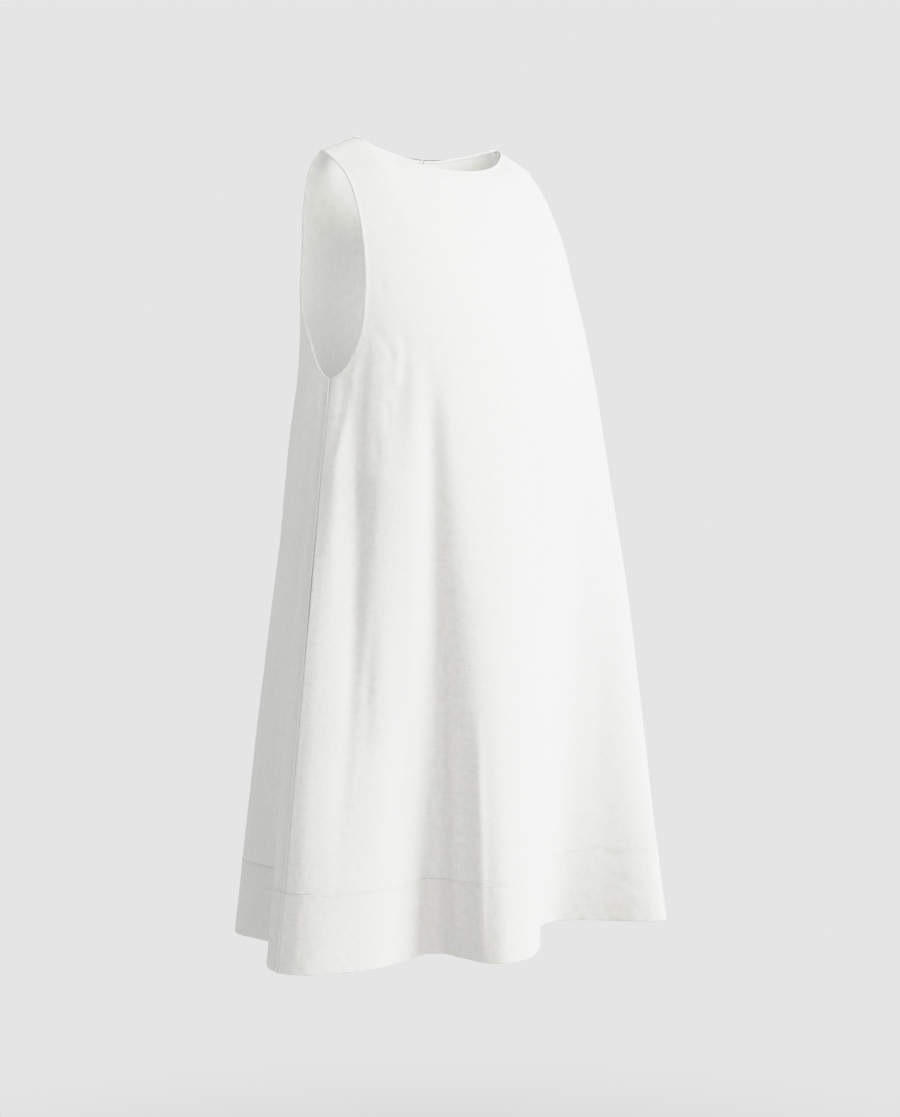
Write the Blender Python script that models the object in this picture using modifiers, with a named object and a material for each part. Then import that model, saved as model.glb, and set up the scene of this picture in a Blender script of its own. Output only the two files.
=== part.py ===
# Sleeveless A-line dress in white linen, filled out as it is worn and hollow inside.
# Metres, +Z up. The front faces -Y and the wearer's right is -X.
# z = 0 lies just below the neck ends of the shoulder seams, y = 0 is the shoulder line.

import math

import bmesh
import bpy
import numpy as np
from mathutils import Matrix

# Driving sizes
DRESS_LENGTH = 0.860            # from z = 0 down to the hem
HEM_BAND_HEIGHT = 0.083         # depth of the doubled band at the hem
CLOTH_THICKNESS = 0.0012        # one layer
BAND_THICKNESS = 0.0020         # the band is two layers
BAND_PROUD = 0.0004             # the band's face stands this far outside the panel's face
SEAM_GAP = 0.0003               # between neighbouring pieces

NECK_HALF_WIDTH = 0.099         # centre to the neck end of the shoulder seam
SHOULDER_TIP = 0.143            # centre to the armhole end of the shoulder seam
SHOULDER_FALL = 0.0200          # the tip lies this far below the neck end
SHOULDER_FALL_REACH = 0.10      # the fall has died away this far down
SHOULDER_FALL_EASE = 0.010      # the fall sets in over this width at the neck end
NECK_END_LIFT = 0.0038          # the neck ends and the shoulders beyond them stand up by this
NECK_END_TILT = 0.016           # a little more on the wearer's right than on the left
NECK_END_REACH = 0.014          # towards the centre, and
NECK_LIFT_REACH = 0.06          # downward: where the lift has died away
FRONT_NECK_DROP = 0.0312
BACK_NECK_DROP = 0.0137
FRONT_NECK_POWER = 0.72
BACK_NECK_POWER = 1.7
BACK_CENTRE_SHIFT = 0.012       # worn a little turned: the centre back neck sits to the wearer's left
BACK_SHIFT_REACH = 0.12
UNDERARM_DROP = 0.251

# Horizontal sections of the worn body of the dress: half an ellipse in front of centre_y and
# half an ellipse behind it. It hangs a little fuller on the wearer's left.
SECTIONS = (
    # drop, right_half, left_half, centre_y, front_depth, back_depth
    (0.000, 0.1690, 0.1690, 0.0000, 0.0000, 0.0000),
    (0.004, 0.1693, 0.1693, -0.0004, 0.0120, 0.0100),
    (0.012, 0.1700, 0.1700, -0.0010, 0.0245, 0.0200),
    (0.032, 0.1715, 0.1715, -0.0030, 0.0520, 0.0370),
    (0.057, 0.1730, 0.1730, -0.0055, 0.0710, 0.0500),
    (0.093, 0.1745, 0.1745, -0.0105, 0.0890, 0.0620),
    (0.139, 0.1750, 0.1755, -0.0155, 0.1040, 0.0725),
    (0.190, 0.1755, 0.1790, -0.0195, 0.1165, 0.0850),
    (0.251, 0.1765, 0.1870, -0.0220, 0.1210, 0.1025),
    (0.330, 0.1840, 0.2010, -0.0220, 0.1230, 0.1230),
    (0.450, 0.1960, 0.2160, -0.0220, 0.1260, 0.1470),
    (0.600, 0.2100, 0.2290, -0.0220, 0.1300, 0.1720),
    (0.860, 0.2350, 0.2450, -0.0220, 0.1380, 0.2080),
)
SIDE_SEAM_Y = -0.050            # the side seams hang in this plane, forward of the middle

# The hem seen from above, round each panel from the wearer's right seam to the left one.
# share runs -1 to 1 across the panel; start is the drop where the wave leaves the smooth section.
FRONT_HEM = (
    # share, x, y, start
    (-1.00, -0.243, -0.051, 0.25),
    (-0.94, -0.236, -0.069, 0.25),
    (-0.84, -0.214, -0.086, 0.25),
    (-0.72, -0.182, -0.098, 0.25),
    (-0.61, -0.149, -0.103, 0.25),
    (-0.51, -0.112, -0.096, 0.26),
    (-0.43, -0.079, -0.088, 0.27),
    (-0.37, -0.062, -0.099, 0.28),
    (-0.31, -0.0585, -0.121, 0.29),
    (-0.24, -0.0570, -0.147, 0.30),
    (-0.17, -0.0495, -0.165, 0.30),
    (-0.09, -0.033, -0.175, 0.30),
    (0.02, -0.002, -0.172, 0.31),
    (0.15, 0.036, -0.144, 0.34),
    (0.28, 0.074, -0.100, 0.36),
    (0.37, 0.106, -0.072, 0.36),
    (0.46, 0.137, -0.067, 0.34),
    (0.58, 0.172, -0.094, 0.32),
    (0.70, 0.204, -0.130, 0.30),
    (0.80, 0.228, -0.142, 0.28),
    (0.89, 0.245, -0.126, 0.26),
    (0.95, 0.251, -0.094, 0.25),
    (1.00, 0.247, -0.055, 0.25),
)
BACK_HEM = (
    # share, x, y, start
    (-1.00, -0.243, -0.051, 0.25),
    (-0.93, -0.237, -0.024, 0.25),
    (-0.87, -0.214, 0.004, 0.26),
    (-0.79, -0.184, 0.026, 0.28),
    (-0.70, -0.170, 0.054, 0.30),
    (-0.61, -0.172, 0.084, 0.30),
    (-0.50, -0.174, 0.120, 0.28),
    (-0.38, -0.147, 0.151, 0.26),
    (-0.25, -0.098, 0.174, 0.24),
    (-0.11, -0.048, 0.168, 0.24),
    (0.02, 0.000, 0.152, 0.22),
    (0.16, 0.052, 0.165, 0.24),
    (0.31, 0.108, 0.186, 0.26),
    (0.45, 0.158, 0.172, 0.28),
    (0.58, 0.190, 0.132, 0.30),
    (0.70, 0.202, 0.084, 0.30),
    (0.83, 0.224, 0.034, 0.28),
    (0.93, 0.243, -0.012, 0.26),
    (1.00, 0.247, -0.055, 0.25),
)
HEM_WAVE_POWER = 1.20           # how soon a wave opens out below its start

# Shorter folds pressed into the panels: depth is inward, negative stands proud.
FRONT_FOLDS = (
    # share, half_share, depth, start, deepest, end, lean
    (-0.815, 0.072, 0.0082, 0.175, 0.34, 0.80, 0.25),
    (-0.90, 0.055, -0.0025, 0.255, 0.34, 0.52, 0.00),
    (-0.395, 0.056, 0.0088, 0.240, 0.42, 0.84, 0.17),
    (-0.435, 0.052, 0.0035, 0.190, 0.29, 0.40, 0.30),
    (-0.59, 0.065, 0.0035, 0.185, 0.25, 0.36, -0.10),
    (0.76, 0.180, -0.0110, 0.140, 0.30, 0.80, 0.00),
    (0.46, 0.090, 0.0045, 0.260, 0.42, 0.66, -0.03),
)
BACK_FOLDS = (
    # share, half_share, depth, start, deepest, end, lean
    (-0.86, 0.070, 0.0060, 0.270, 0.42, 0.64, 0.00),
    (-0.40, 0.110, 0.0050, 0.200, 0.40, 0.66, -0.02),
    (0.12, 0.090, 0.0055, 0.180, 0.40, 0.70, 0.00),
    (0.58, 0.100, 0.0060, 0.220, 0.42, 0.68, 0.03),
)

# The side seams stand out and forward as soft corners between the flat front and the back.
SEAM_STAND = (
    # drop, stand
    (0.290, 0.0000),
    (0.370, 0.0060),
    (0.460, 0.0125),
    (0.580, 0.0145),
    (0.700, 0.0100),
    (0.800, 0.0030),
    (0.860, 0.0000),
)
STAND_OUT = 0.64                # parts of the stand that go outward and forward
STAND_FORWARD = 0.77
STAND_FRONT_REACH = 0.21        # share of half a panel over which it dies away
STAND_BACK_REACH = 0.11
STAND_POWER = 1.2

# Armhole edge: share of each panel's width that is left at each drop below the shoulder tip.
ARMHOLE = (
    # drop, front_share, back_share
    (0.018, 0.704, 0.612),
    (0.040, 0.687, 0.612),
    (0.070, 0.690, 0.610),
    (0.105, 0.708, 0.614),
    (0.140, 0.729, 0.650),
    (0.170, 0.757, 0.730),
    (0.188, 0.775, 0.808),
    (0.204, 0.795, 0.862),
    (0.216, 0.822, 0.886),
    (0.228, 0.858, 0.908),
    (0.238, 0.893, 0.932),
    (0.244, 0.924, 0.951),
    (0.248, 0.958, 0.971),
    (0.251, 1.000, 1.000),
)

# Centre back opening and its fastening
SLIT_LENGTH = 0.105
SLIT_WIDTH = 0.0016             # at the neck, closing to nothing at its foot
BUTTON_RADIUS = 0.0045
BUTTON_HEIGHT = 0.0036
BUTTON_PROFILE = (
    # share of the radius, share of the height, from the crown out to the rim
    (0.00, 1.00),
    (0.55, 0.97),
    (0.88, 0.84),
    (1.00, 0.66),
    (0.94, 0.53),
)
SHANK_RADIUS = 0.0014
SHANK_HEIGHT = 0.0017
BUTTON_DROP = 0.0085            # below the back neck edge
BUTTON_ASIDE = 0.0060           # from the slit, on the wearer's right
LOOP_WIRE = 0.0005              # radius of the thread loop
LOOP_RADIUS = 0.0024            # of its bend round the shank
LOOP_REACH = 0.0125             # from the button's shank to the ends of the loop
LOOP_END_HALF = 0.0016          # half the distance between its two ends
LOOP_MIDDLE_HALF = 0.0021       # half its width halfway along

# Pockets let into both side seams
POCKET_MOUTH_TOP = 0.370        # drop of the ends of the opening in the seam
POCKET_MOUTH_FOOT = 0.560
POCKET_GAPE = 0.0032            # how far the front panel's edge stands away
POCKET_BAG_TOP = 0.345
POCKET_BAG_FOOT = 0.640
POCKET_REACH = 0.52             # share of half the front panel that the bag lies behind
POCKET_LAYER = 0.0010           # cloth of the bag
POCKET_SEWN_GAP = 0.0011        # between the bag and the panels where it is sewn in at its mouth
POCKET_CLEAR = 0.0030           # between them where it hangs free
POCKET_EASE = 0.15              # share of its depth over which it comes away from them
POCKET_SLACK = 0.0016           # between its two layers
POCKET_BACK_OVERLAP = 0.035     # share by which the back layer passes behind the back panel
POCKET_FRONT_MARGIN = 0.004     # share by which the front layer stops short of the seam
POCKET_TOP_SLOPE = 0.050        # how far the bag's top has dropped at its far end
POCKET_FOOT_SLOPE = 0.060       # how far its foot has risen there
POCKET_ROUNDING = 0.92          # how square its far corners are, up to 1

# Fineness of the mesh
NECK_SHARE = 0.62               # the neck ends of the shoulder seams, as a share of the top edge
NECK_COLUMNS = 32               # even, so that one column runs down the centre
SHOULDER_COLUMNS = 8
LOWER_ROWS = 14
UPPER_ROWS = 13
BAND_ROWS = 3
BUTTON_STEPS = 20
LOOP_STEPS = 8
LOOP_WIRE_STEPS = 2
POCKET_DEPTH_STEPS = 12
POCKET_HEIGHT_STEPS = 9
SHARP_ANGLE = 50.0              # degrees, edges sharper than this stay crisp
STEP = 1e-4                     # for finding directions on the surface
MERGE_DISTANCE = 1e-6

FRONT = -1
BACK = 1


# Shape of the cloth

def curve_through(rows, at):
    """Smooth curve through the rows of a table whose first column is the parameter."""
    rows = np.asarray(rows, float)
    knots, values = rows[:, 0], rows[:, 1:]
    slopes = np.empty_like(values)
    slopes[1:-1] = (values[2:] - values[:-2]) / (knots[2:] - knots[:-2])[:, None]
    slopes[0] = (values[1] - values[0]) / (knots[1] - knots[0])
    slopes[-1] = (values[-1] - values[-2]) / (knots[-1] - knots[-2])
    at = np.clip(np.asarray(at, float), knots[0], knots[-1])
    i = np.clip(np.searchsorted(knots, at, side="right") - 1, 0, len(knots) - 2)
    span = knots[i + 1] - knots[i]
    t = ((at - knots[i]) / span)[..., None]
    span = span[..., None]
    return ((2 * t**3 - 3 * t**2 + 1) * values[i] + (t**3 - 2 * t**2 + t) * span * slopes[i]
            + (3 * t**2 - 2 * t**3) * values[i + 1] + (t**3 - t**2) * span * slopes[i + 1])


def section_at(drop):
    columns = np.moveaxis(curve_through(SECTIONS, drop), -1, 0)
    right_half, left_half, centre_y, front_depth, back_depth = columns
    middle_half = (right_half + left_half) / 2
    lean_left = (left_half - right_half) / 2
    return middle_half, lean_left, centre_y, np.maximum(front_depth, 0.0), np.maximum(back_depth, 0.0)


def seam_angle(drop):
    """Angle round the section, from the centre front, at which the side seams lie."""
    _, _, centre_y, front_depth, _ = section_at(np.maximum(drop, UNDERARM_DROP))
    return np.arccos((centre_y - SIDE_SEAM_Y) / front_depth)


def smooth_section(side, share, drop):
    """Plan position on the smooth worn shape, before any fold."""
    middle_half, lean_left, centre_y, front_depth, back_depth = section_at(drop)
    seam = seam_angle(drop)
    angle = share * seam if side == FRONT else np.pi - share * (np.pi - seam)
    depth = np.where(np.cos(angle) > 0, front_depth, back_depth)
    sine = np.sin(angle)
    return (middle_half + lean_left * sine) * sine, centre_y - depth * np.cos(angle)


def share_at(side, x, drop):
    """Share across the panel at which the smooth section reaches this x."""
    middle_half, lean_left, _, _, _ = section_at(drop)
    sine = 2 * x / (middle_half + np.sqrt(middle_half**2 + 4 * lean_left * x))
    angle = np.arcsin(np.clip(sine, -1.0, 1.0))
    seam = seam_angle(drop)
    return angle / (seam if side == FRONT else np.pi - seam)


def armhole_share(side, drop):
    """Share of the panel's width inside the armhole edge, or all of it below the underarm."""
    column = 1 if side == FRONT else 2
    tip = (0.0, share_at(side, SHOULDER_TIP, 0.0))
    rows = [tip] + [(row[0], row[column]) for row in ARMHOLE]
    return np.where(np.asarray(drop) >= UNDERARM_DROP, 1.0, curve_through(rows, drop)[..., 0])


def rise_and_fall(at, start, peak, end):
    up = np.clip((at - start) / (peak - start), 0.0, 1.0)
    down = np.clip((end - at) / (end - peak), 0.0, 1.0)
    return (3 * up**2 - 2 * up**3) * (3 * down**2 - 2 * down**3)


def eased_beyond(distance):
    """The distance where it is positive, and nearly nothing where it isn't, with a soft bend between."""
    return (distance + np.sqrt(distance**2 + SHOULDER_FALL_EASE**2)) / 2


def panel_point(side, share, drop):
    """Outer face of a panel. A share beyond 1 runs on round the side seam into the other panel."""
    share, drop = np.broadcast_arrays(np.asarray(share, float), np.asarray(drop, float))
    over = np.abs(share) > 1.0
    if np.any(over):
        here = panel_point(side, np.clip(share, -1.0, 1.0), drop)
        there = panel_point(-side, np.sign(share) * np.minimum(2.0 - np.abs(share), 1.0), drop)
        return np.where(over[..., None], there, here)
    x, y = smooth_section(side, share, drop)
    hem = curve_through(FRONT_HEM if side == FRONT else BACK_HEM, share)
    base_x, base_y = smooth_section(side, share, np.full_like(drop, DRESS_LENGTH))
    start = hem[..., 2]
    opening = np.clip((drop - start) / (DRESS_LENGTH - start), 0.0, 1.0) ** HEM_WAVE_POWER
    x = x + (hem[..., 0] - base_x) * opening
    y = y + (hem[..., 1] - base_y) * opening
    inward = np.maximum(np.hypot(x, y), STEP)
    for middle, half, depth, begin, deepest, end, lean in (FRONT_FOLDS if side == FRONT else BACK_FOLDS):
        away = (share - middle - lean * (drop - deepest)) / half
        press = depth * np.exp(-away**2) * rise_and_fall(drop, begin, deepest, end)
        x = x - press * x / inward
        y = y - press * y / inward
    reach = STAND_FRONT_REACH if side == FRONT else STAND_BACK_REACH
    near_seam = np.clip((np.abs(share) - 1.0 + reach) / reach, 0.0, 1.0) ** STAND_POWER
    stand = curve_through(SEAM_STAND, drop)[..., 0] * near_seam
    x = x + np.sign(share) * STAND_OUT * stand
    y = y - STAND_FORWARD * stand
    if side == BACK:
        middle_part = np.clip(1.0 - (x / NECK_HALF_WIDTH) ** 2, 0.0, 1.0)
        x = x + BACK_CENTRE_SHIFT * middle_part * np.exp(-(drop / BACK_SHIFT_REACH) ** 2)
    beyond_neck = eased_beyond(np.abs(x) - NECK_HALF_WIDTH)
    beyond_neck = beyond_neck / eased_beyond(SHOULDER_TIP - NECK_HALF_WIDTH)
    fall = SHOULDER_FALL * beyond_neck * np.exp(-(drop / SHOULDER_FALL_REACH) ** 2)
    inside_neck = np.maximum(NECK_HALF_WIDTH - np.abs(x), 0.0)
    lift = (NECK_END_LIFT - NECK_END_TILT * x) * np.exp(-(inside_neck / NECK_END_REACH) ** 2)
    lift = lift * np.exp(-(drop / NECK_LIFT_REACH) ** 2)
    return np.stack([x, y, lift - drop - fall], -1)


def outward(side, share, drop):
    """Direction that the outer face looks in."""
    before = np.maximum(drop - STEP, 0.0)
    across = panel_point(side, share + STEP, drop) - panel_point(side, share - STEP, drop)
    down = panel_point(side, share, drop + STEP) - panel_point(side, share, before)
    normal = np.cross(across, down) * side
    return normal / np.linalg.norm(normal, axis=-1, keepdims=True)


def flattened(normal, axis):
    """The direction with one component taken out, so that two pieces meet squarely there."""
    normal = normal.copy()
    normal[..., axis] = 0.0
    return normal / np.linalg.norm(normal, axis=-1, keepdims=True)


# Grids of the pieces

def column_shares():
    """Columns across a panel, closer to the shoulders and the neck than evenly spaced ones."""
    shoulder = np.linspace(-1.0, -NECK_SHARE, SHOULDER_COLUMNS + 1)[:-1]
    neck = np.linspace(-NECK_SHARE, NECK_SHARE, NECK_COLUMNS + 1)
    return np.concatenate([shoulder, neck, -shoulder[::-1]])


def top_edge(side, columns):
    """x and drop of the shoulder seams and the neck edge, column by column."""
    neck_x = NECK_HALF_WIDTH * np.sin(np.clip(columns / NECK_SHARE, -1.0, 1.0) * np.pi / 2)
    along_shoulder = np.clip((np.abs(columns) - NECK_SHARE) / (1.0 - NECK_SHARE), 0.0, 1.0)
    x = neck_x + np.sign(columns) * along_shoulder * (SHOULDER_TIP - NECK_HALF_WIDTH)
    neck_drop, power = ((FRONT_NECK_DROP, FRONT_NECK_POWER) if side == FRONT
                        else (BACK_NECK_DROP, BACK_NECK_POWER))
    inside_neck = np.clip(1.0 - (neck_x / NECK_HALF_WIDTH) ** 2, 0.0, 1.0)
    return x, neck_drop * inside_neck**power


def panel_grid(side):
    """Share and drop of every grid point of a panel, row by row from the band up to the top edge."""
    columns = column_shares()
    top_x, top_drop = top_edge(side, columns)
    tip_share = share_at(side, SHOULDER_TIP, 0.0)
    top_share = share_at(side, top_x, top_drop) / tip_share
    band_top = DRESS_LENGTH - HEM_BAND_HEIGHT - SEAM_GAP / 2
    shares, drops = [], []
    for row in range(LOWER_ROWS):
        drops.append(np.full_like(columns, band_top + (UNDERARM_DROP - band_top) * row / LOWER_ROWS))
        shares.append(columns)
    for row in range(UPPER_ROWS + 1):
        rise = 0.5 - 0.5 * math.cos(math.pi * row / UPPER_ROWS)
        edge_drop = UNDERARM_DROP * (1.0 - rise)
        drops.append(edge_drop + top_drop * rise)
        spread = (1.0 - rise) * columns + rise * top_share
        shares.append(spread * armhole_share(side, edge_drop))
    return np.array(shares), np.array(drops)


def seam_direction(share, drop):
    """Level direction across a side seam, from the front panel to the back one."""
    sign = np.sign(share)
    ahead = panel_point(FRONT, sign * (1.0 - STEP), drop)
    behind = panel_point(BACK, sign * (1.0 - STEP), drop)
    return flattened(behind - ahead, 2)


def pocket_mouth(drop):
    """0 at the ends of the pocket opening, 1 in its middle."""
    along = np.clip((drop - POCKET_MOUTH_TOP) / (POCKET_MOUTH_FOOT - POCKET_MOUTH_TOP), 0.0, 1.0)
    return np.sin(np.pi * along) ** 2


def part_at_side_seam(side, points, shares, drops):
    """Draw a piece's two outer columns back from the side seams, and open the pocket mouths."""
    for column in (0, -1):
        below = np.abs(shares[:, column]) > 1.0 - STEP
        share, drop = shares[below, column], drops[below, column]
        distance = np.full_like(drop, SEAM_GAP / 2)
        if side == FRONT:
            distance = distance + POCKET_GAPE * pocket_mouth(drop)
        points[below, column] += side * distance[:, None] * seam_direction(share, drop)
    return points


def panel_faces(side):
    """Outer and inner points of a panel."""
    shares, drops = panel_grid(side)
    outer = panel_point(side, shares, drops)
    normals = outward(side, shares, drops)
    columns = column_shares()
    on_shoulder = np.abs(columns) >= NECK_SHARE - STEP
    normals[-1, on_shoulder] = flattened(normals[-1, on_shoulder], 1)
    normals[0] = flattened(normals[0], 2)
    outer = part_at_side_seam(side, outer, shares, drops)
    outer[-1, on_shoulder, 1] = side * SEAM_GAP / 2
    return outer, outer - CLOTH_THICKNESS * normals


def band_faces(side):
    """Outer and inner points of a hem band, which carries on the panel above it."""
    columns = column_shares()
    top = DRESS_LENGTH - HEM_BAND_HEIGHT + SEAM_GAP / 2
    drops = np.linspace(DRESS_LENGTH, top, BAND_ROWS + 1)[:, None] * np.ones_like(columns)
    shares = np.broadcast_to(columns, drops.shape)
    normals = flattened(outward(side, shares, drops), 2)
    outer = panel_point(side, shares, drops) + BAND_PROUD * normals
    outer = part_at_side_seam(side, outer, shares, drops)
    return outer, outer - BAND_THICKNESS * normals


# Building the pieces

def material(name, colour, roughness):
    made = bpy.data.materials.new(name)
    made.use_nodes = True
    surface = made.node_tree.nodes["Principled BSDF"]
    surface.inputs["Base Color"].default_value = (*colour, 1.0)
    surface.inputs["Roughness"].default_value = roughness
    surface.inputs["Metallic"].default_value = 0.0
    return made


def grid_numbers(rows, columns):
    return np.arange(rows * columns).reshape(rows, columns)


def quads_between(numbers):
    """One face for each cell of a grid of point numbers."""
    return [
        (numbers[r, c], numbers[r, c + 1], numbers[r + 1, c + 1], numbers[r + 1, c])
        for r in range(numbers.shape[0] - 1)
        for c in range(numbers.shape[1] - 1)
    ]


def closed_wall(name, outer, inner, faces, collection, finish):
    """A wall of cloth between two sheets of points, closed all round its free edges."""
    count = len(outer)
    all_faces = [tuple(face) for face in faces]
    all_faces += [tuple(number + count for number in reversed(face)) for face in faces]
    edges = dict.fromkeys(pair for face in faces for pair in zip(face, face[1:] + face[:1]))
    for start, end in edges:
        if (end, start) not in edges:
            all_faces.append((end, start, start + count, end + count))
    mesh = bpy.data.meshes.new(name)
    mesh.from_pydata(np.concatenate([outer, inner]).tolist(), [], all_faces)
    return finished(name, mesh, collection, finish)


def finished(name, mesh, collection, finish):
    """Face the mesh outward, smooth it and put it in the collection."""
    shape = bmesh.new()
    shape.from_mesh(mesh)
    bmesh.ops.recalc_face_normals(shape, faces=shape.faces)
    bmesh.ops.triangulate(shape, faces=shape.faces)
    shape.to_mesh(mesh)
    shape.free()
    mesh.shade_smooth()
    mesh.set_sharp_from_angle(angle=math.radians(SHARP_ANGLE))
    mesh.materials.append(finish)
    piece = bpy.data.objects.new(name, mesh)
    collection.objects.link(piece)
    return piece


def front_panel(collection, finish):
    outer, inner = panel_faces(FRONT)
    numbers = grid_numbers(*outer.shape[:2])
    closed_wall("front_panel", outer.reshape(-1, 3), inner.reshape(-1, 3), quads_between(numbers),
                collection, finish)


def back_panel(collection, finish):
    """The back, with its centre column doubled above the foot of the slit."""
    outer, inner = panel_faces(BACK)
    rows, columns = outer.shape[:2]
    centre = columns // 2
    _, drops = panel_grid(BACK)
    depth = drops[:, centre] - drops[-1, centre]
    slit_rows = np.flatnonzero(depth < SLIT_LENGTH)
    half_gap = SLIT_WIDTH / 2 * (1.0 - depth[slit_rows] / SLIT_LENGTH)
    shift = np.zeros((len(slit_rows), 3))
    shift[:, 0] = half_gap
    far_outer = outer[slit_rows, centre] + shift
    far_inner = inner[slit_rows, centre] + shift
    outer[slit_rows, centre] -= shift
    inner[slit_rows, centre] -= shift
    numbers = grid_numbers(rows, columns)
    far_numbers = numbers.copy()
    far_numbers[slit_rows, centre] = rows * columns + np.arange(len(slit_rows))
    faces = quads_between(numbers[:, :centre + 1]) + quads_between(far_numbers[:, centre:])
    closed_wall("back_panel",
                np.concatenate([outer.reshape(-1, 3), far_outer]),
                np.concatenate([inner.reshape(-1, 3), far_inner]),
                faces, collection, finish)


def hem_band(name, side, collection, finish):
    outer, inner = band_faces(side)
    numbers = grid_numbers(*outer.shape[:2])
    closed_wall(name, outer.reshape(-1, 3), inner.reshape(-1, 3), quads_between(numbers),
                collection, finish)


def inside_point(share, drop, inset):
    """A point on the inside of the dress, this far in from the outer face."""
    return panel_point(FRONT, share, drop) - inset[..., None] * outward(FRONT, share, drop)


def pocket_skin(sign, shrink):
    """One skin of a pocket bag as rings round its mouth, each ring smaller than the one before."""
    near_edge = 1.0 - POCKET_FRONT_MARGIN
    far_edge = 1.0 + POCKET_BACK_OVERLAP
    fold_share = 1.0 - POCKET_REACH + shrink / NECK_HALF_WIDTH
    rings = []
    for along in np.linspace(0.0, 1.0, POCKET_DEPTH_STEPS + 1):
        ease = min(1.0, along / POCKET_EASE)
        panel_inset = CLOTH_THICKNESS + POCKET_SEWN_GAP + (POCKET_CLEAR - POCKET_SEWN_GAP) * ease
        near_inset = panel_inset + shrink
        far_inset = panel_inset + POCKET_LAYER + (POCKET_LAYER + POCKET_SLACK) * ease - shrink
        near_share = near_edge + (fold_share - near_edge) * along
        far_share = far_edge + (fold_share - far_edge) * along
        rounding = 1.0 - math.sqrt(1.0 - POCKET_ROUNDING * along**3)
        top = POCKET_BAG_TOP + shrink + POCKET_TOP_SLOPE * rounding
        foot = POCKET_BAG_FOOT - shrink - POCKET_FOOT_SLOPE * rounding
        drops = np.linspace(top, foot, POCKET_HEIGHT_STEPS + 1)
        near = inside_point(np.full_like(drops, sign * near_share), drops, np.full_like(drops, near_inset))
        far = inside_point(np.full_like(drops, sign * far_share), drops, np.full_like(drops, far_inset))
        rings.append(np.concatenate([near, far[::-1]]))
    return np.array(rings)


def pocket_bag(name, sign, collection, finish):
    """Flat empty pocket: an outer and an inner skin, joined round the mouth in the seam."""
    outer = pocket_skin(sign, 0.0)
    inner = pocket_skin(sign, POCKET_LAYER)
    rings, around = outer.shape[:2]
    count = rings * around
    faces = []
    for skin in (0, count):
        numbers = grid_numbers(rings, around) + skin
        wrapped = np.concatenate([numbers, numbers[:, :1]], axis=1)
        faces += quads_between(wrapped)
        last = numbers[-1]
        half = around // 2
        for i in range(half - 1):
            faces.append((last[i], last[i + 1], last[around - 2 - i], last[around - 1 - i]))
    for i in range(around):
        following = (i + 1) % around
        faces.append((i, following, following + count, i + count))
    mesh = bpy.data.meshes.new(name)
    points = np.concatenate([outer.reshape(-1, 3), inner.reshape(-1, 3)])
    mesh.from_pydata(points.tolist(), [], [tuple(int(n) for n in face) for face in faces])
    finished(name, mesh, collection, finish)


def fastening_frame():
    """Where the button stands on the back, with the directions across, up and out from it."""
    drop = np.array(BACK_NECK_DROP + BUTTON_DROP)
    share = share_at(BACK, -BUTTON_ASIDE, drop)
    point = panel_point(BACK, share, drop)
    out = outward(BACK, share, drop)
    across = panel_point(BACK, share + STEP, drop) - panel_point(BACK, share - STEP, drop)
    across = across / np.linalg.norm(across)
    up = np.cross(out, across)
    return point, across, up, out


def placing(point, across, up, out):
    """World matrix with local X across, Y up and Z out of the cloth."""
    return Matrix([
        (across[0], up[0], out[0], point[0]),
        (across[1], up[1], out[1], point[1]),
        (across[2], up[2], out[2], point[2]),
        (0.0, 0.0, 0.0, 1.0),
    ])


def neck_button(collection, finish):
    """A small domed button on a shank, turned from its profile."""
    point, across, up, out = fastening_frame()
    profile = [(share * BUTTON_RADIUS, height * BUTTON_HEIGHT) for share, height in BUTTON_PROFILE]
    profile += [(SHANK_RADIUS, SHANK_HEIGHT), (SHANK_RADIUS, 0.0), (0.0, 0.0)]
    mesh = bpy.data.meshes.new("neck_button")
    mesh.from_pydata([(r, 0.0, z) for r, z in profile], [(i, i + 1) for i in range(len(profile) - 1)], [])
    mesh.materials.append(finish)
    piece = bpy.data.objects.new("neck_button", mesh)
    piece.matrix_world = placing(point + SEAM_GAP * out, across, up, out)
    turn = piece.modifiers.new("turned", "SCREW")
    turn.axis = "Z"
    turn.steps = BUTTON_STEPS
    turn.render_steps = BUTTON_STEPS
    turn.use_merge_vertices = True
    turn.merge_threshold = MERGE_DISTANCE
    turn.use_smooth_shade = True
    collection.objects.link(piece)


def button_loop(collection, finish):
    """A thread loop round the button's shank, its two ends on the other side of the slit."""
    point, across, up, out = fastening_frame()
    height = SEAM_GAP * 2 + LOOP_WIRE
    angles = np.linspace(math.pi / 2, 3 * math.pi / 2, LOOP_STEPS + 1)
    bend = [(LOOP_RADIUS * math.cos(angle), LOOP_RADIUS * math.sin(angle)) for angle in angles]
    upper_leg = [(LOOP_REACH, LOOP_END_HALF), (LOOP_REACH / 2, LOOP_MIDDLE_HALF)]
    lower_leg = [(x, -y) for x, y in reversed(upper_leg)]
    route = upper_leg + bend + lower_leg
    curve = bpy.data.curves.new("button_loop", "CURVE")
    curve.dimensions = "3D"
    curve.bevel_depth = LOOP_WIRE
    curve.bevel_resolution = LOOP_WIRE_STEPS
    curve.use_fill_caps = True
    spline = curve.splines.new("POLY")
    spline.points.add(len(route) - 1)
    for target, (x, y) in zip(spline.points, route):
        target.co = (x, y, height, 1.0)
    curve.materials.append(finish)
    piece = bpy.data.objects.new("button_loop", curve)
    piece.matrix_world = placing(point, across, up, out)
    collection.objects.link(piece)


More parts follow.
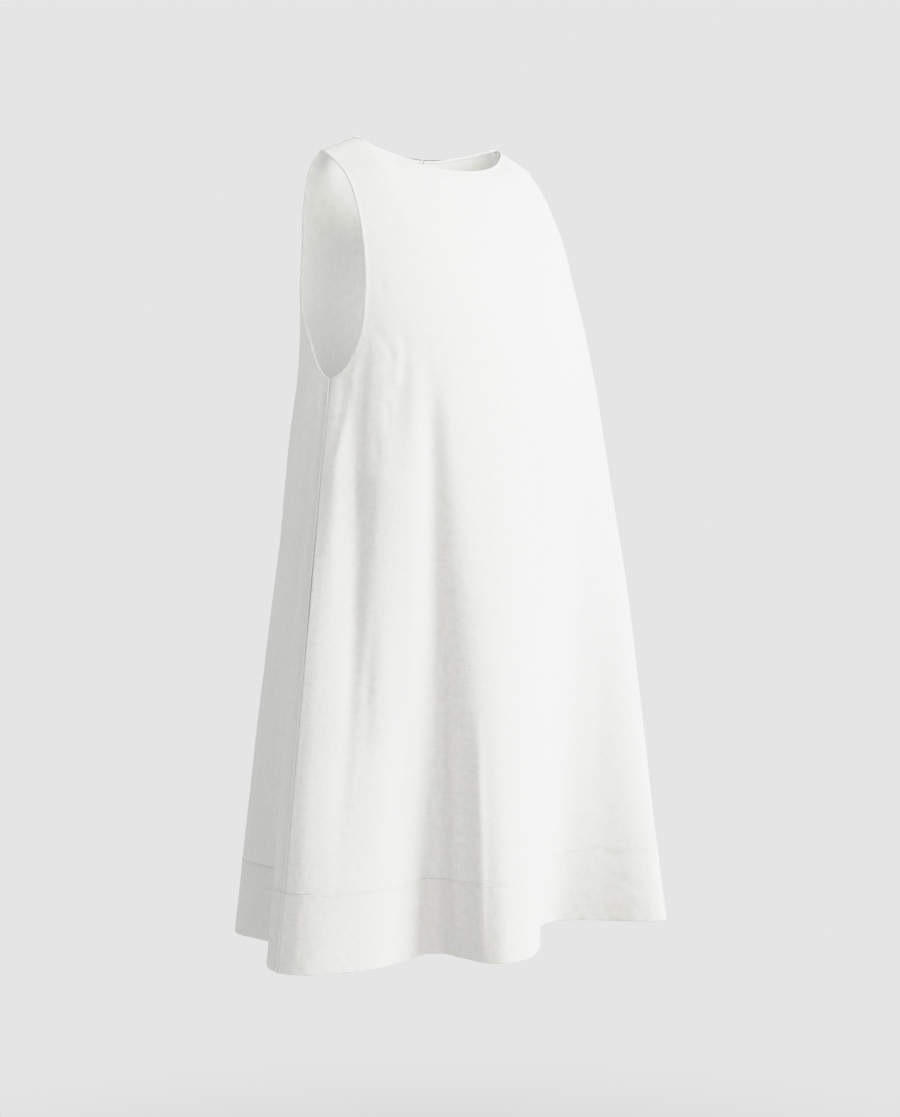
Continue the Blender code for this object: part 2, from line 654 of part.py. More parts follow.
def build():
    for old in list(bpy.data.objects):
        bpy.data.objects.remove(old, do_unlink=True)
    collection = bpy.data.collections.new("sleeveless_dress")
    bpy.context.scene.collection.children.link(collection)
    linen = material("white_linen", (0.86, 0.86, 0.84), 0.85)
    pocketing = material("pocket_linen", (0.82, 0.82, 0.80), 0.85)
    shell = material("pearl_button", (0.88, 0.87, 0.84), 0.35)
    thread = material("white_thread", (0.86, 0.86, 0.84), 0.70)
    front_panel(collection, linen)
    back_panel(collection, linen)
    hem_band("front_hem_band", FRONT, collection, linen)
    hem_band("back_hem_band", BACK, collection, linen)
    pocket_bag("right_pocket_bag", -1, collection, pocketing)
    pocket_bag("left_pocket_bag", 1, collection, pocketing)
    neck_button(collection, shell)
    button_loop(collection, thread)


build()
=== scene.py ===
import math

import bpy
import bmesh
import numpy as np
from mathutils import Matrix, Vector, kdtree, noise


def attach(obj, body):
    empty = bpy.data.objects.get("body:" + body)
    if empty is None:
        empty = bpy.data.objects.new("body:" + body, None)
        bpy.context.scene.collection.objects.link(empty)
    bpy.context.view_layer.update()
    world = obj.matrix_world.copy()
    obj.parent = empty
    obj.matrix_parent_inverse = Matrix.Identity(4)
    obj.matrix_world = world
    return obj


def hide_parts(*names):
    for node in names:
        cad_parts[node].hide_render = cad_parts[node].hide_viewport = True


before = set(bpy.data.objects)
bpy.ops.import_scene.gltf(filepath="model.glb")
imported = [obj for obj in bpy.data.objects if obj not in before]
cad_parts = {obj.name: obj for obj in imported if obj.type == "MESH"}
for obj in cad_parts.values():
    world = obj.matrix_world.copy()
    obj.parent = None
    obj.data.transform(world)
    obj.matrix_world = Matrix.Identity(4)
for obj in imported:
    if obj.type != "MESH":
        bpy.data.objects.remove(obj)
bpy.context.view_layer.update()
print("frame loaded,", len(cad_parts), "nodes")


# Shape of the dress, the same as its solids

dress = {
    "length": 0.860,         # from z = 0 down to the hem
    "bandHeight": 0.083,     # doubled band at the hem
    "cloth": 0.0012,         # one layer
    "neckHalf": 0.099,       # centre to the neck end of the shoulder seam
    "shoulderTip": 0.143,    # centre to the armhole end of the shoulder seam
    "shoulderFall": 0.0200,  # the tip lies this far below the neck end
    "fallReach": 0.10,
    "fallEase": 0.010,       # the fall sets in over this width at the neck end
    "neckLift": 0.0038,      # the neck ends and the shoulders beyond them stand up by this
    "neckTilt": 0.016,       # a little more on the wearer's right than on the left
    "neckLiftReach": (0.014, 0.06),  # towards the centre and downward
    "neckDrop": {"front": 0.0312, "back": 0.0137},
    "neckPower": {"front": 0.72, "back": 1.7},
    "backShift": 0.012,      # the centre back neck sits to the wearer's left
    "shiftReach": 0.12,
    "underarm": 0.251,
    "seamY": -0.050,         # the side seams hang in this plane
    "wavePower": 1.20,       # how soon a hem wave opens out below its start
    "neckShare": 0.62,       # neck ends of the shoulder seams, as a share of the top edge
    "standOut": 0.64,        # parts of the seams' stand that go outward and forward
    "standForward": 0.77,
    "standReach": {"front": 0.21, "back": 0.11},
    "standPower": 1.2,
    # length of cloth from a panel's centre to its side seam, under the arm and at the hem
    "halfGirth": {"front": (0.237, 0.385), "back": (0.305, 0.425)},
}

bodySections = (
    # drop, rightHalf, leftHalf, centreY, frontDepth, backDepth
    (0.000, 0.1690, 0.1690, 0.0000, 0.0000, 0.0000),
    (0.004, 0.1693, 0.1693, -0.0004, 0.0120, 0.0100),
    (0.012, 0.1700, 0.1700, -0.0010, 0.0245, 0.0200),
    (0.032, 0.1715, 0.1715, -0.0030, 0.0520, 0.0370),
    (0.057, 0.1730, 0.1730, -0.0055, 0.0710, 0.0500),
    (0.093, 0.1745, 0.1745, -0.0105, 0.0890, 0.0620),
    (0.139, 0.1750, 0.1755, -0.0155, 0.1040, 0.0725),
    (0.190, 0.1755, 0.1790, -0.0195, 0.1165, 0.0850),
    (0.251, 0.1765, 0.1870, -0.0220, 0.1210, 0.1025),
    (0.330, 0.1840, 0.2010, -0.0220, 0.1230, 0.1230),
    (0.450, 0.1960, 0.2160, -0.0220, 0.1260, 0.1470),
    (0.600, 0.2100, 0.2290, -0.0220, 0.1300, 0.1720),
    (0.860, 0.2350, 0.2450, -0.0220, 0.1380, 0.2080),
)

hemLine = {
    # share across the panel, x, y, drop where the wave starts
    "front": (
        (-1.00, -0.243, -0.051, 0.25),
        (-0.94, -0.236, -0.069, 0.25),
        (-0.84, -0.214, -0.086, 0.25),
        (-0.72, -0.182, -0.098, 0.25),
        (-0.61, -0.149, -0.103, 0.25),
        (-0.51, -0.112, -0.096, 0.26),
        (-0.43, -0.079, -0.088, 0.27),
        (-0.37, -0.062, -0.099, 0.28),
        (-0.31, -0.0585, -0.121, 0.29),
        (-0.24, -0.0570, -0.147, 0.30),
        (-0.17, -0.0495, -0.165, 0.30),
        (-0.09, -0.033, -0.175, 0.30),
        (0.02, -0.002, -0.172, 0.31),
        (0.15, 0.036, -0.144, 0.34),
        (0.28, 0.074, -0.100, 0.36),
        (0.37, 0.106, -0.072, 0.36),
        (0.46, 0.137, -0.067, 0.34),
        (0.58, 0.172, -0.094, 0.32),
        (0.70, 0.204, -0.130, 0.30),
        (0.80, 0.228, -0.142, 0.28),
        (0.89, 0.245, -0.126, 0.26),
        (0.95, 0.251, -0.094, 0.25),
        (1.00, 0.247, -0.055, 0.25),
    ),
    "back": (
        (-1.00, -0.243, -0.051, 0.25),
        (-0.93, -0.237, -0.024, 0.25),
        (-0.87, -0.214, 0.004, 0.26),
        (-0.79, -0.184, 0.026, 0.28),
        (-0.70, -0.170, 0.054, 0.30),
        (-0.61, -0.172, 0.084, 0.30),
        (-0.50, -0.174, 0.120, 0.28),
        (-0.38, -0.147, 0.151, 0.26),
        (-0.25, -0.098, 0.174, 0.24),
        (-0.11, -0.048, 0.168, 0.24),
        (0.02, 0.000, 0.152, 0.22),
        (0.16, 0.052, 0.165, 0.24),
        (0.31, 0.108, 0.186, 0.26),
        (0.45, 0.158, 0.172, 0.28),
        (0.58, 0.190, 0.132, 0.30),
        (0.70, 0.202, 0.084, 0.30),
        (0.83, 0.224, 0.034, 0.28),
        (0.93, 0.243, -0.012, 0.26),
        (1.00, 0.247, -0.055, 0.25),
    ),
}

largeFolds = {
    # share, halfShare, depth inward, start, deepest, end, lean
    "front": (
        (-0.815, 0.072, 0.0082, 0.175, 0.34, 0.80, 0.25),
        (-0.90, 0.055, -0.0025, 0.255, 0.34, 0.52, 0.00),
        (-0.395, 0.056, 0.0088, 0.240, 0.42, 0.84, 0.17),
        (-0.435, 0.052, 0.0035, 0.190, 0.29, 0.40, 0.30),
        (-0.59, 0.065, 0.0035, 0.185, 0.25, 0.36, -0.10),
        (0.76, 0.180, -0.0110, 0.140, 0.30, 0.80, 0.00),
        (0.46, 0.090, 0.0045, 0.260, 0.42, 0.66, -0.03),
    ),
    "back": (
        (-0.86, 0.070, 0.0060, 0.270, 0.42, 0.64, 0.00),
        (-0.40, 0.110, 0.0050, 0.200, 0.40, 0.66, -0.02),
        (0.12, 0.090, 0.0055, 0.180, 0.40, 0.70, 0.00),
        (0.58, 0.100, 0.0060, 0.220, 0.42, 0.68, 0.03),
    ),
}

seamStand = (
    # drop, how far the side seams stand out and forward as soft corners
    (0.290, 0.0000),
    (0.370, 0.0060),
    (0.460, 0.0125),
    (0.580, 0.0145),
    (0.700, 0.0100),
    (0.800, 0.0030),
    (0.860, 0.0000),
)

armholeLine = (
    # drop below the shoulder tip, share of the front left, share of the back left
    (0.018, 0.704, 0.612),
    (0.040, 0.687, 0.612),
    (0.070, 0.690, 0.610),
    (0.105, 0.708, 0.614),
    (0.140, 0.729, 0.650),
    (0.170, 0.757, 0.730),
    (0.188, 0.775, 0.808),
    (0.204, 0.795, 0.862),
    (0.216, 0.822, 0.886),
    (0.228, 0.858, 0.908),
    (0.238, 0.893, 0.932),
    (0.244, 0.924, 0.951),
    (0.248, 0.958, 0.971),
    (0.251, 1.000, 1.000),
)

sideSign = {"front": -1, "back": 1}
tinyStep = 1e-4  # for finding directions on the surface


def curveThrough(rows, at):
    # smooth curve through a table whose first column is the parameter
    rows = np.asarray(rows, float)
    knots, values = rows[:, 0], rows[:, 1:]
    slopes = np.empty_like(values)
    slopes[1:-1] = (values[2:] - values[:-2]) / (knots[2:] - knots[:-2])[:, None]
    slopes[0] = (values[1] - values[0]) / (knots[1] - knots[0])
    slopes[-1] = (values[-1] - values[-2]) / (knots[-1] - knots[-2])
    at = np.clip(np.asarray(at, float), knots[0], knots[-1])
    i = np.clip(np.searchsorted(knots, at, side="right") - 1, 0, len(knots) - 2)
    span = knots[i + 1] - knots[i]
    t = ((at - knots[i]) / span)[..., None]
    span = span[..., None]
    return ((2 * t**3 - 3 * t**2 + 1) * values[i] + (t**3 - 2 * t**2 + t) * span * slopes[i]
            + (3 * t**2 - 2 * t**3) * values[i + 1] + (t**3 - t**2) * span * slopes[i + 1])


def smoothStep(low, high, at):
    t = np.clip((at - low) / (high - low), 0.0, 1.0)
    return t * t * (3 - 2 * t)


def riseAndFall(at, start, peak, end):
    return smoothStep(start, peak, at) * smoothStep(-end, -peak, -at)


def sectionAt(drop):
    section = np.moveaxis(curveThrough(bodySections, drop), -1, 0)
    rightHalf, leftHalf, centreY, frontDepth, backDepth = section
    return ((rightHalf + leftHalf) / 2, (leftHalf - rightHalf) / 2, centreY,
            np.maximum(frontDepth, 0.0), np.maximum(backDepth, 0.0))


def seamAngle(drop):
    section = sectionAt(np.maximum(drop, dress["underarm"]))
    return np.arccos((section[2] - dress["seamY"]) / section[3])


def smoothPlan(side, share, drop):
    half, lean, centreY, frontDepth, backDepth = sectionAt(drop)
    seam = seamAngle(drop)
    angle = share * seam if side == "front" else np.pi - share * (np.pi - seam)
    depth = np.where(np.cos(angle) > 0, frontDepth, backDepth)
    sine = np.sin(angle)
    return (half + lean * sine) * sine, centreY - depth * np.cos(angle)


def shareAt(side, x, drop):
    half, lean = sectionAt(drop)[:2]
    sine = 2 * x / (half + np.sqrt(half**2 + 4 * lean * x))
    seam = seamAngle(drop)
    return np.arcsin(np.clip(sine, -1.0, 1.0)) / (seam if side == "front" else np.pi - seam)


def armholeShare(side, drop):
    column = 1 if side == "front" else 2
    tip = (0.0, shareAt(side, dress["shoulderTip"], 0.0))
    rows = [tip] + [(row[0], row[column]) for row in armholeLine]
    return np.where(np.asarray(drop) >= dress["underarm"], 1.0, curveThrough(rows, drop)[..., 0])


def easedBeyond(distance):
    # the distance where it is positive, nearly nothing elsewhere, with a soft bend between
    return (distance + np.sqrt(distance**2 + dress["fallEase"]**2)) / 2


def clothPoint(side, share, drop):
    # outer face of a panel; a share beyond 1 runs on round the side seam
    share, drop = np.broadcast_arrays(np.asarray(share, float), np.asarray(drop, float))
    over = np.abs(share) > 1.0
    if np.any(over):
        other = "back" if side == "front" else "front"
        here = clothPoint(side, np.clip(share, -1.0, 1.0), drop)
        there = clothPoint(other, np.sign(share) * np.minimum(2.0 - np.abs(share), 1.0), drop)
        return np.where(over[..., None], there, here)
    x, y = smoothPlan(side, share, drop)
    hem = curveThrough(hemLine[side], share)
    baseX, baseY = smoothPlan(side, share, np.full_like(drop, dress["length"]))
    opening = np.clip((drop - hem[..., 2]) / (dress["length"] - hem[..., 2]), 0.0, 1.0)
    opening = opening ** dress["wavePower"]
    x = x + (hem[..., 0] - baseX) * opening
    y = y + (hem[..., 1] - baseY) * opening
    inward = np.maximum(np.hypot(x, y), tinyStep)
    for middle, half, depth, start, deepest, end, lean in largeFolds[side]:
        away = (share - middle - lean * (drop - deepest)) / half
        press = depth * np.exp(-away**2) * riseAndFall(drop, start, deepest, end)
        x = x - press * x / inward
        y = y - press * y / inward
    reach = dress["standReach"][side]
    nearSeam = np.clip((np.abs(share) - 1.0 + reach) / reach, 0.0, 1.0) ** dress["standPower"]
    stand = curveThrough(seamStand, drop)[..., 0] * nearSeam
    x = x + np.sign(share) * dress["standOut"] * stand
    y = y - dress["standForward"] * stand
    if side == "back":
        middlePart = np.clip(1.0 - (x / dress["neckHalf"]) ** 2, 0.0, 1.0)
        x = x + dress["backShift"] * middlePart * np.exp(-(drop / dress["shiftReach"]) ** 2)
    beyondNeck = easedBeyond(np.abs(x) - dress["neckHalf"])
    beyondNeck = beyondNeck / easedBeyond(dress["shoulderTip"] - dress["neckHalf"])
    fall = dress["shoulderFall"] * beyondNeck * np.exp(-(drop / dress["fallReach"]) ** 2)
    inward, down = dress["neckLiftReach"]
    insideNeck = np.maximum(dress["neckHalf"] - np.abs(x), 0.0)
    nearNeck = np.exp(-(insideNeck / inward) ** 2 - (drop / down) ** 2)
    lift = (dress["neckLift"] - dress["neckTilt"] * x) * nearNeck
    return np.stack([x, y, lift - drop - fall], -1)


def clothNormal(side, share, drop):
    above = np.maximum(drop - tinyStep, 0.0)
    across = clothPoint(side, share + tinyStep, drop) - clothPoint(side, share - tinyStep, drop)
    down = clothPoint(side, share, drop + tinyStep) - clothPoint(side, share, above)
    normal = np.cross(across, down) * sideSign[side]
    return normal / np.linalg.norm(normal, axis=-1, keepdims=True)


def halfGirth(side, drop):
    start, end = dress["halfGirth"][side]
    below = (drop - dress["underarm"]) / (dress["length"] - dress["underarm"])
    return start + (end - start) * np.clip(below, 0.0, 1.0)


# Creases, placed one by one: where each starts and ends on its panel, and its own width, depth and bow

creases = {
    # fromShare, fromDrop, toShare, toDrop, half width, depth (minus stands proud), bow sideways
    "front": (
        (-0.905, 0.240, -0.936, 0.335, 0.0055, 0.0016, 0.002),
        (-0.838, 0.205, -0.850, 0.275, 0.0065, -0.0026, 0.001),
        (-0.845, 0.265, -0.925, 0.350, 0.0060, -0.0014, -0.002),
        (-0.745, 0.205, -0.800, 0.300, 0.0060, 0.0016, 0.001),
        (-0.800, 0.300, -0.790, 0.400, 0.0070, 0.0016, -0.001),
        (-0.600, 0.212, -0.612, 0.262, 0.0065, -0.0022, 0.001),
        (-0.735, 0.194, -0.605, 0.242, 0.0050, 0.0010, 0.002),
        (-0.700, 0.215, -0.630, 0.235, 0.0045, -0.0008, -0.001),
        (-0.655, 0.272, -0.645, 0.304, 0.0040, 0.0012, 0.001),
        (-0.700, 0.310, -0.685, 0.335, 0.0040, 0.0010, -0.001),
        (-0.700, 0.235, -0.745, 0.470, 0.0105, 0.0012, 0.004),
        (-0.660, 0.480, -0.690, 0.640, 0.0090, 0.0015, -0.005),
        (-0.360, 0.215, -0.385, 0.400, 0.0100, 0.0012, -0.005),
        (-0.325, 0.560, -0.318, 0.870, 0.0055, -0.0034, 0.002),
        (-0.375, 0.620, -0.378, 0.870, 0.0050, 0.0014, 0.001),
        (-0.262, 0.620, -0.262, 0.860, 0.0060, 0.0014, -0.001),
        (-0.775, 0.400, -0.780, 0.700, 0.0090, 0.0017, 0.001),
        (-0.212, 0.600, -0.215, 0.880, 0.0070, -0.0036, 0.001),
        (-0.520, 0.560, -0.560, 0.740, 0.0130, 0.0011, 0.005),
        (-0.500, 0.080, -0.480, 0.090, 0.0060, 0.0008, 0.001),
        (-0.665, 0.150, -0.640, 0.165, 0.0060, 0.0008, 0.001),
        (-0.200, 0.765, -0.100, 0.770, 0.0025, 0.0005, 0.002),
        (-0.190, 0.775, -0.080, 0.781, 0.0028, 0.0005, -0.001),
        (0.520, 0.772, 0.660, 0.792, 0.0035, 0.0006, 0.003),
        (0.600, 0.800, 0.740, 0.830, 0.0035, 0.0006, -0.003),
        (0.150, 0.790, 0.350, 0.800, 0.0040, 0.0006, 0.003),
        (-0.130, 0.120, -0.040, 0.210, 0.0120, 0.0009, 0.006),
        (-0.180, 0.330, -0.120, 0.470, 0.0140, 0.0008, -0.006),
        (0.060, 0.270, 0.095, 0.480, 0.0160, 0.0010, 0.007),
        (0.240, 0.440, 0.262, 0.640, 0.0130, 0.0013, 0.006),
        (0.400, 0.250, 0.470, 0.400, 0.0110, 0.0014, -0.006),
        (0.520, 0.215, 0.640, 0.300, 0.0085, 0.0013, 0.005),
        (0.660, 0.330, 0.640, 0.520, 0.0120, 0.0012, 0.006),
        (0.820, 0.250, 0.790, 0.380, 0.0080, 0.0011, -0.004),
        (0.930, 0.265, 0.900, 0.430, 0.0070, 0.0012, 0.003),
        (0.600, 0.560, 0.575, 0.750, 0.0130, 0.0011, -0.005),
        (0.700, 0.085, 0.560, 0.135, 0.0080, 0.0009, 0.004),
        (0.130, 0.640, 0.330, 0.655, 0.0090, 0.0006, 0.005),
        (0.840, 0.700, 0.700, 0.735, 0.0080, 0.0007, 0.006),
        (-0.830, 0.600, -0.800, 0.760, 0.0110, 0.0009, 0.005),
    ),
    "back": (
        (-0.930, 0.245, -0.945, 0.300, 0.0040, -0.0012, 0.001),
        (-0.955, 0.255, -0.962, 0.300, 0.0030, 0.0010, 0.001),
        (-0.580, 0.081, -0.425, 0.119, 0.0060, 0.0010, 0.002),
        (-0.425, 0.119, -0.425, 0.164, 0.0060, 0.0008, -0.002),
        (-0.890, 0.262, -0.925, 0.480, 0.0080, 0.0018, 0.003),
        (-0.955, 0.400, -0.915, 0.620, 0.0080, -0.0012, 0.004),
        (-0.905, 0.265, -0.860, 0.430, 0.0075, 0.0014, 0.004),
        (-0.780, 0.235, -0.760, 0.420, 0.0090, 0.0016, -0.005),
        (-0.640, 0.150, -0.560, 0.260, 0.0090, 0.0012, 0.006),
        (-0.560, 0.290, -0.575, 0.500, 0.0130, 0.0016, 0.007),
        (-0.400, 0.200, -0.380, 0.420, 0.0130, 0.0016, -0.006),
        (-0.300, 0.400, -0.330, 0.640, 0.0140, 0.0014, 0.007),
        (-0.120, 0.130, -0.060, 0.260, 0.0120, 0.0009, 0.006),
        (0.110, 0.170, 0.130, 0.420, 0.0130, 0.0017, 0.006),
        (0.030, 0.430, 0.010, 0.680, 0.0150, 0.0013, -0.007),
        (0.300, 0.290, 0.280, 0.500, 0.0120, 0.0012, 0.005),
        (0.420, 0.165, 0.500, 0.280, 0.0090, 0.0012, -0.005),
        (0.580, 0.240, 0.600, 0.450, 0.0130, 0.0018, 0.006),
        (0.700, 0.200, 0.760, 0.330, 0.0085, 0.0013, 0.004),
        (0.880, 0.262, 0.850, 0.430, 0.0080, 0.0013, -0.004),
        (0.955, 0.300, 0.930, 0.520, 0.0070, -0.0011, 0.003),
        (0.480, 0.520, 0.450, 0.740, 0.0150, 0.0012, 0.007),
        (-0.480, 0.640, -0.300, 0.665, 0.0090, 0.0006, 0.005),
        (0.180, 0.690, 0.360, 0.715, 0.0090, 0.0006, -0.005),
    ),
}

creaseForm = {
    "ends": 0.03,        # how far its ends are cut off
    "fullness": 0.8,     # how soon it reaches its depth
}

rumple = {
    "patch": 0.055,      # size of the soft unevenness of linen
    "height": 0.00055,
    "finePatch": 0.017,
    "fineHeight": 0.00016,
    "longer": (0.6, 0.7),  # both run on further downward than across
    "shift": {"front": 3.0, "back": 11.0},
}


def creaseRelief(side, share, drop):
    # outward offset of the cloth from its smooth form
    u, v = share * halfGirth(side, drop), drop
    relief = np.zeros_like(u)
    for fromShare, fromDrop, toShare, toDrop, halfWidth, depth, bow in creases[side]:
        start = np.array([fromShare * halfGirth(side, fromDrop), fromDrop])
        end = np.array([toShare * halfGirth(side, toDrop), toDrop])
        length = np.linalg.norm(end - start)
        along = ((u - start[0]) * (end - start)[0] + (v - start[1]) * (end - start)[1]) / length**2
        aside = ((u - start[0]) * (end - start)[1] - (v - start[1]) * (end - start)[0]) / length
        inside = np.clip(along, 0.0, 1.0)
        aside = aside - bow * np.sin(np.pi * inside)
        beyond = np.maximum(np.abs(along - 0.5) - 0.5, 0.0) * length / halfWidth
        kept = np.clip(along * (1.0 - 2 * creaseForm["ends"]) + creaseForm["ends"], 0.0, 1.0)
        strength = np.sin(np.pi * kept) ** creaseForm["fullness"]
        relief -= depth * strength * np.exp(-(aside / halfWidth) ** 2 - beyond**2)
    return relief


def rumpleRelief(side, share, drop):
    u, v = share * halfGirth(side, drop), drop
    flatU, flatV = u.ravel(), v.ravel()
    values = np.zeros(len(flatU))
    heights = (rumple["height"], rumple["fineHeight"])
    for patch, height, longer in zip((rumple["patch"], rumple["finePatch"]), heights, rumple["longer"]):
        for i in range(len(values)):
            place = Vector((flatU[i] / patch, flatV[i] / patch * longer, rumple["shift"][side]))
            values[i] += height * noise.noise(place)
    return values.reshape(u.shape)


# Linen and the other finishes

linen = {
    "colour": (0.825, 0.82, 0.80),
    "shade": (0.69, 0.683, 0.66),     # in the hollows of the weave and along thin threads
    "thread": 0.00062,                # from one thread to the next
    "weaveHeight": 0.00012,
    "slub": (0.0011, 0.014),          # width and length of the uneven places in the threads
    "thickSlub": (0.0022, 0.018),
    "cloud": 0.007,                   # patches where the cloth is denser
    "roughness": 0.88,
    "letsLightThrough": 0.8,
    "lightReach": 0.0018,
    "pocketReach": 0.006,             # the thin pocketing lets more light pass on
    "reachColour": (1.0, 1.0, 0.95),
    "wobble": (60.0, 0.0016),         # how often and how far the threads leave their line
    "crossing": (0.5, 0.12),          # shares of the weave in height and in tone
    "slubHeight": (0.9, 0.5),
    "toneShares": (0.55, 0.35, 0.7),  # of slubs, thick slubs and clouds
    "toneMiddle": 0.5,
    "weaveStrength": 0.55,
    "bandLayers": 1.15,               # the weave stands up more on the doubled band
    "pocketTone": 0.96,
    "pocketLayers": 0.8,
    "softScale": 95.0,                # soft dents in the cloth
    "softStretch": (1.0, 0.7, 1.0),
    "softStrength": 0.35,
    "softHeight": 0.0010,
    "specular": 0.25,
    "sheen": 0.12,
    "sheenRoughness": 0.55,
}


evenly = (1.0, 1.0, 1.0)


def newMaterial(name):
    made = bpy.data.materials.new(name)
    made.use_nodes = True
    tree = made.node_tree
    return made, tree, tree.nodes["Principled BSDF"]


def mathNode(tree, operation, first, second=None):
    node = tree.nodes.new("ShaderNodeMath")
    node.operation = operation
    for socket, value in zip(node.inputs, (first, second)):
        if value is None:
            continue
        if isinstance(value, (int, float)):
            socket.default_value = value
        else:
            tree.links.new(value, socket)
    return node.outputs[0]


def noiseNode(tree, vector, scale, stretch, detail=2.0):
    mapping = tree.nodes.new("ShaderNodeMapping")
    mapping.inputs["Scale"].default_value = stretch
    tree.links.new(vector, mapping.inputs["Vector"])
    node = tree.nodes.new("ShaderNodeTexNoise")
    node.inputs["Scale"].default_value = scale
    node.inputs["Detail"].default_value = detail
    tree.links.new(mapping.outputs["Vector"], node.inputs["Vector"])
    return node.outputs["Fac"]


def threadNoise(tree, place, size):
    # uneven threads both ways of the weave
    width, length = size
    warp = noiseNode(tree, place, 1.0 / width, (1.0, width / length, 1.0))
    weft = noiseNode(tree, place, 1.0 / width, (width / length, 1.0, 1.0))
    return mathNode(tree, "ADD", warp, weft)


def mixNode(tree, factor, first, second, surface):
    mix = tree.nodes.new("ShaderNodeMix")
    mix.data_type = "RGBA"
    mix.inputs["A"].default_value = (*first, 1.0)
    mix.inputs["B"].default_value = (*second, 1.0)
    tree.links.new(factor, mix.inputs["Factor"])
    tree.links.new(mix.outputs["Result"], surface.inputs["Base Color"])


def bumpNode(tree, height, strength, distance, below=None):
    bump = tree.nodes.new("ShaderNodeBump")
    bump.inputs["Strength"].default_value = strength
    bump.inputs["Distance"].default_value = distance
    tree.links.new(height, bump.inputs["Height"])
    if below is not None:
        tree.links.new(below, bump.inputs["Normal"])
    return bump.outputs["Normal"]


def linenMaterial(name, reach, darker=1.0, layers=1.0):
    made, tree, surface = newMaterial(name)
    flatPlace = tree.nodes.new("ShaderNodeUVMap")
    flatPlace.uv_map = "clothFlat"
    place = flatPlace.outputs["UV"]
    parts = tree.nodes.new("ShaderNodeSeparateXYZ")
    tree.links.new(place, parts.inputs[0])
    turns = math.pi / linen["thread"]
    often, far = linen["wobble"]
    wobble = mathNode(tree, "MULTIPLY", noiseNode(tree, place, often, evenly), far)
    waves = []
    for axis in ("X", "Y"):
        phase = mathNode(tree, "MULTIPLY", mathNode(tree, "ADD", parts.outputs[axis], wobble), turns)
        waves.append(mathNode(tree, "SINE", phase))
    over = mathNode(tree, "MULTIPLY", *waves)
    slubs = threadNoise(tree, place, linen["slub"])
    thick = threadNoise(tree, place, linen["thickSlub"])
    cloud = noiseNode(tree, place, 1.0 / linen["cloud"], evenly)
    height = mathNode(tree, "MULTIPLY", over, linen["crossing"][0])
    for part, share in zip((slubs, thick), linen["slubHeight"]):
        height = mathNode(tree, "ADD", height, mathNode(tree, "MULTIPLY", part, share))
    soft = noiseNode(tree, place, linen["softScale"], linen["softStretch"], 4.0)

    tone = mathNode(tree, "MULTIPLY", over, linen["crossing"][1])
    for part, share in zip((slubs, thick, cloud), linen["toneShares"]):
        tone = mathNode(tree, "ADD", tone, mathNode(tree, "MULTIPLY", part, share))
    mixNode(tree, mathNode(tree, "SUBTRACT", tone, linen["toneMiddle"]),
            [c * darker for c in linen["shade"]], [c * darker for c in linen["colour"]], surface)
    weave = bumpNode(tree, height, linen["weaveStrength"], linen["weaveHeight"] * layers)
    dented = bumpNode(tree, soft, linen["softStrength"], linen["softHeight"], weave)
    tree.links.new(dented, surface.inputs["Normal"])

    surface.inputs["Roughness"].default_value = linen["roughness"]
    surface.inputs["Specular IOR Level"].default_value = linen["specular"]
    surface.inputs["Subsurface Weight"].default_value = linen["letsLightThrough"]
    surface.inputs["Subsurface Radius"].default_value = linen["reachColour"]
    surface.inputs["Subsurface Scale"].default_value = reach
    surface.inputs["Sheen Weight"].default_value = linen["sheen"]
    surface.inputs["Sheen Roughness"].default_value = linen["sheenRoughness"]
    return made


thread = {
    "shade": (0.70, 0.695, 0.675),
    "colour": (0.83, 0.825, 0.805),
    "twist": 900.0,
    "unevenness": 1.5,
    "bump": (0.5, 0.0001),
    "roughness": 0.62,
}


def threadMaterial():
    made, tree, surface = newMaterial("sewingThread")
    coordinates = tree.nodes.new("ShaderNodeTexCoord")
    twist = tree.nodes.new("ShaderNodeTexWave")
    twist.wave_type = "BANDS"
    twist.bands_direction = "DIAGONAL"
    twist.inputs["Scale"].default_value = thread["twist"]
    twist.inputs["Distortion"].default_value = thread["unevenness"]
    tree.links.new(coordinates.outputs["Object"], twist.inputs["Vector"])
    mixNode(tree, twist.outputs["Fac"], thread["shade"], thread["colour"], surface)
    tree.links.new(bumpNode(tree, twist.outputs["Fac"], *thread["bump"]), surface.inputs["Normal"])
    surface.inputs["Roughness"].default_value = thread["roughness"]
    return made


button = {
    "shade": (0.74, 0.70, 0.66),
    "colour": (0.90, 0.89, 0.87),
    "cloud": 420.0,
    "cloudStretch": (1.0, 1.0, 0.35),
    "roughness": (0.14, 0.15),  # least, and how much more in the cloudy places
    "coat": 0.5,
    "coatRoughness": 0.08,
}


def pearlMaterial():
    made, tree, surface = newMaterial("pearlButton")
    coordinates = tree.nodes.new("ShaderNodeTexCoord")
    cloudy = noiseNode(tree, coordinates.outputs["Object"], button["cloud"], button["cloudStretch"], 4.0)
    mixNode(tree, cloudy, button["shade"], button["colour"], surface)
    least, more = button["roughness"]
    rough = mathNode(tree, "ADD", mathNode(tree, "MULTIPLY", cloudy, more), least)
    tree.links.new(rough, surface.inputs["Roughness"])
    surface.inputs["Coat Weight"].default_value = button["coat"]
    surface.inputs["Coat Roughness"].default_value = button["coatRoughness"]
    return made


linenCloth = linenMaterial("whiteLinen", linen["lightReach"])
linenBand = linenMaterial("whiteLinenBand", linen["lightReach"], 1.0, linen["bandLayers"])
pocketLook = (linen["pocketReach"], linen["pocketTone"], linen["pocketLayers"])
linenPocket = linenMaterial("pocketLinen", *pocketLook)
sewingThread = threadMaterial()
pearl = pearlMaterial()
print("finishes made")


# Making a shell of cloth

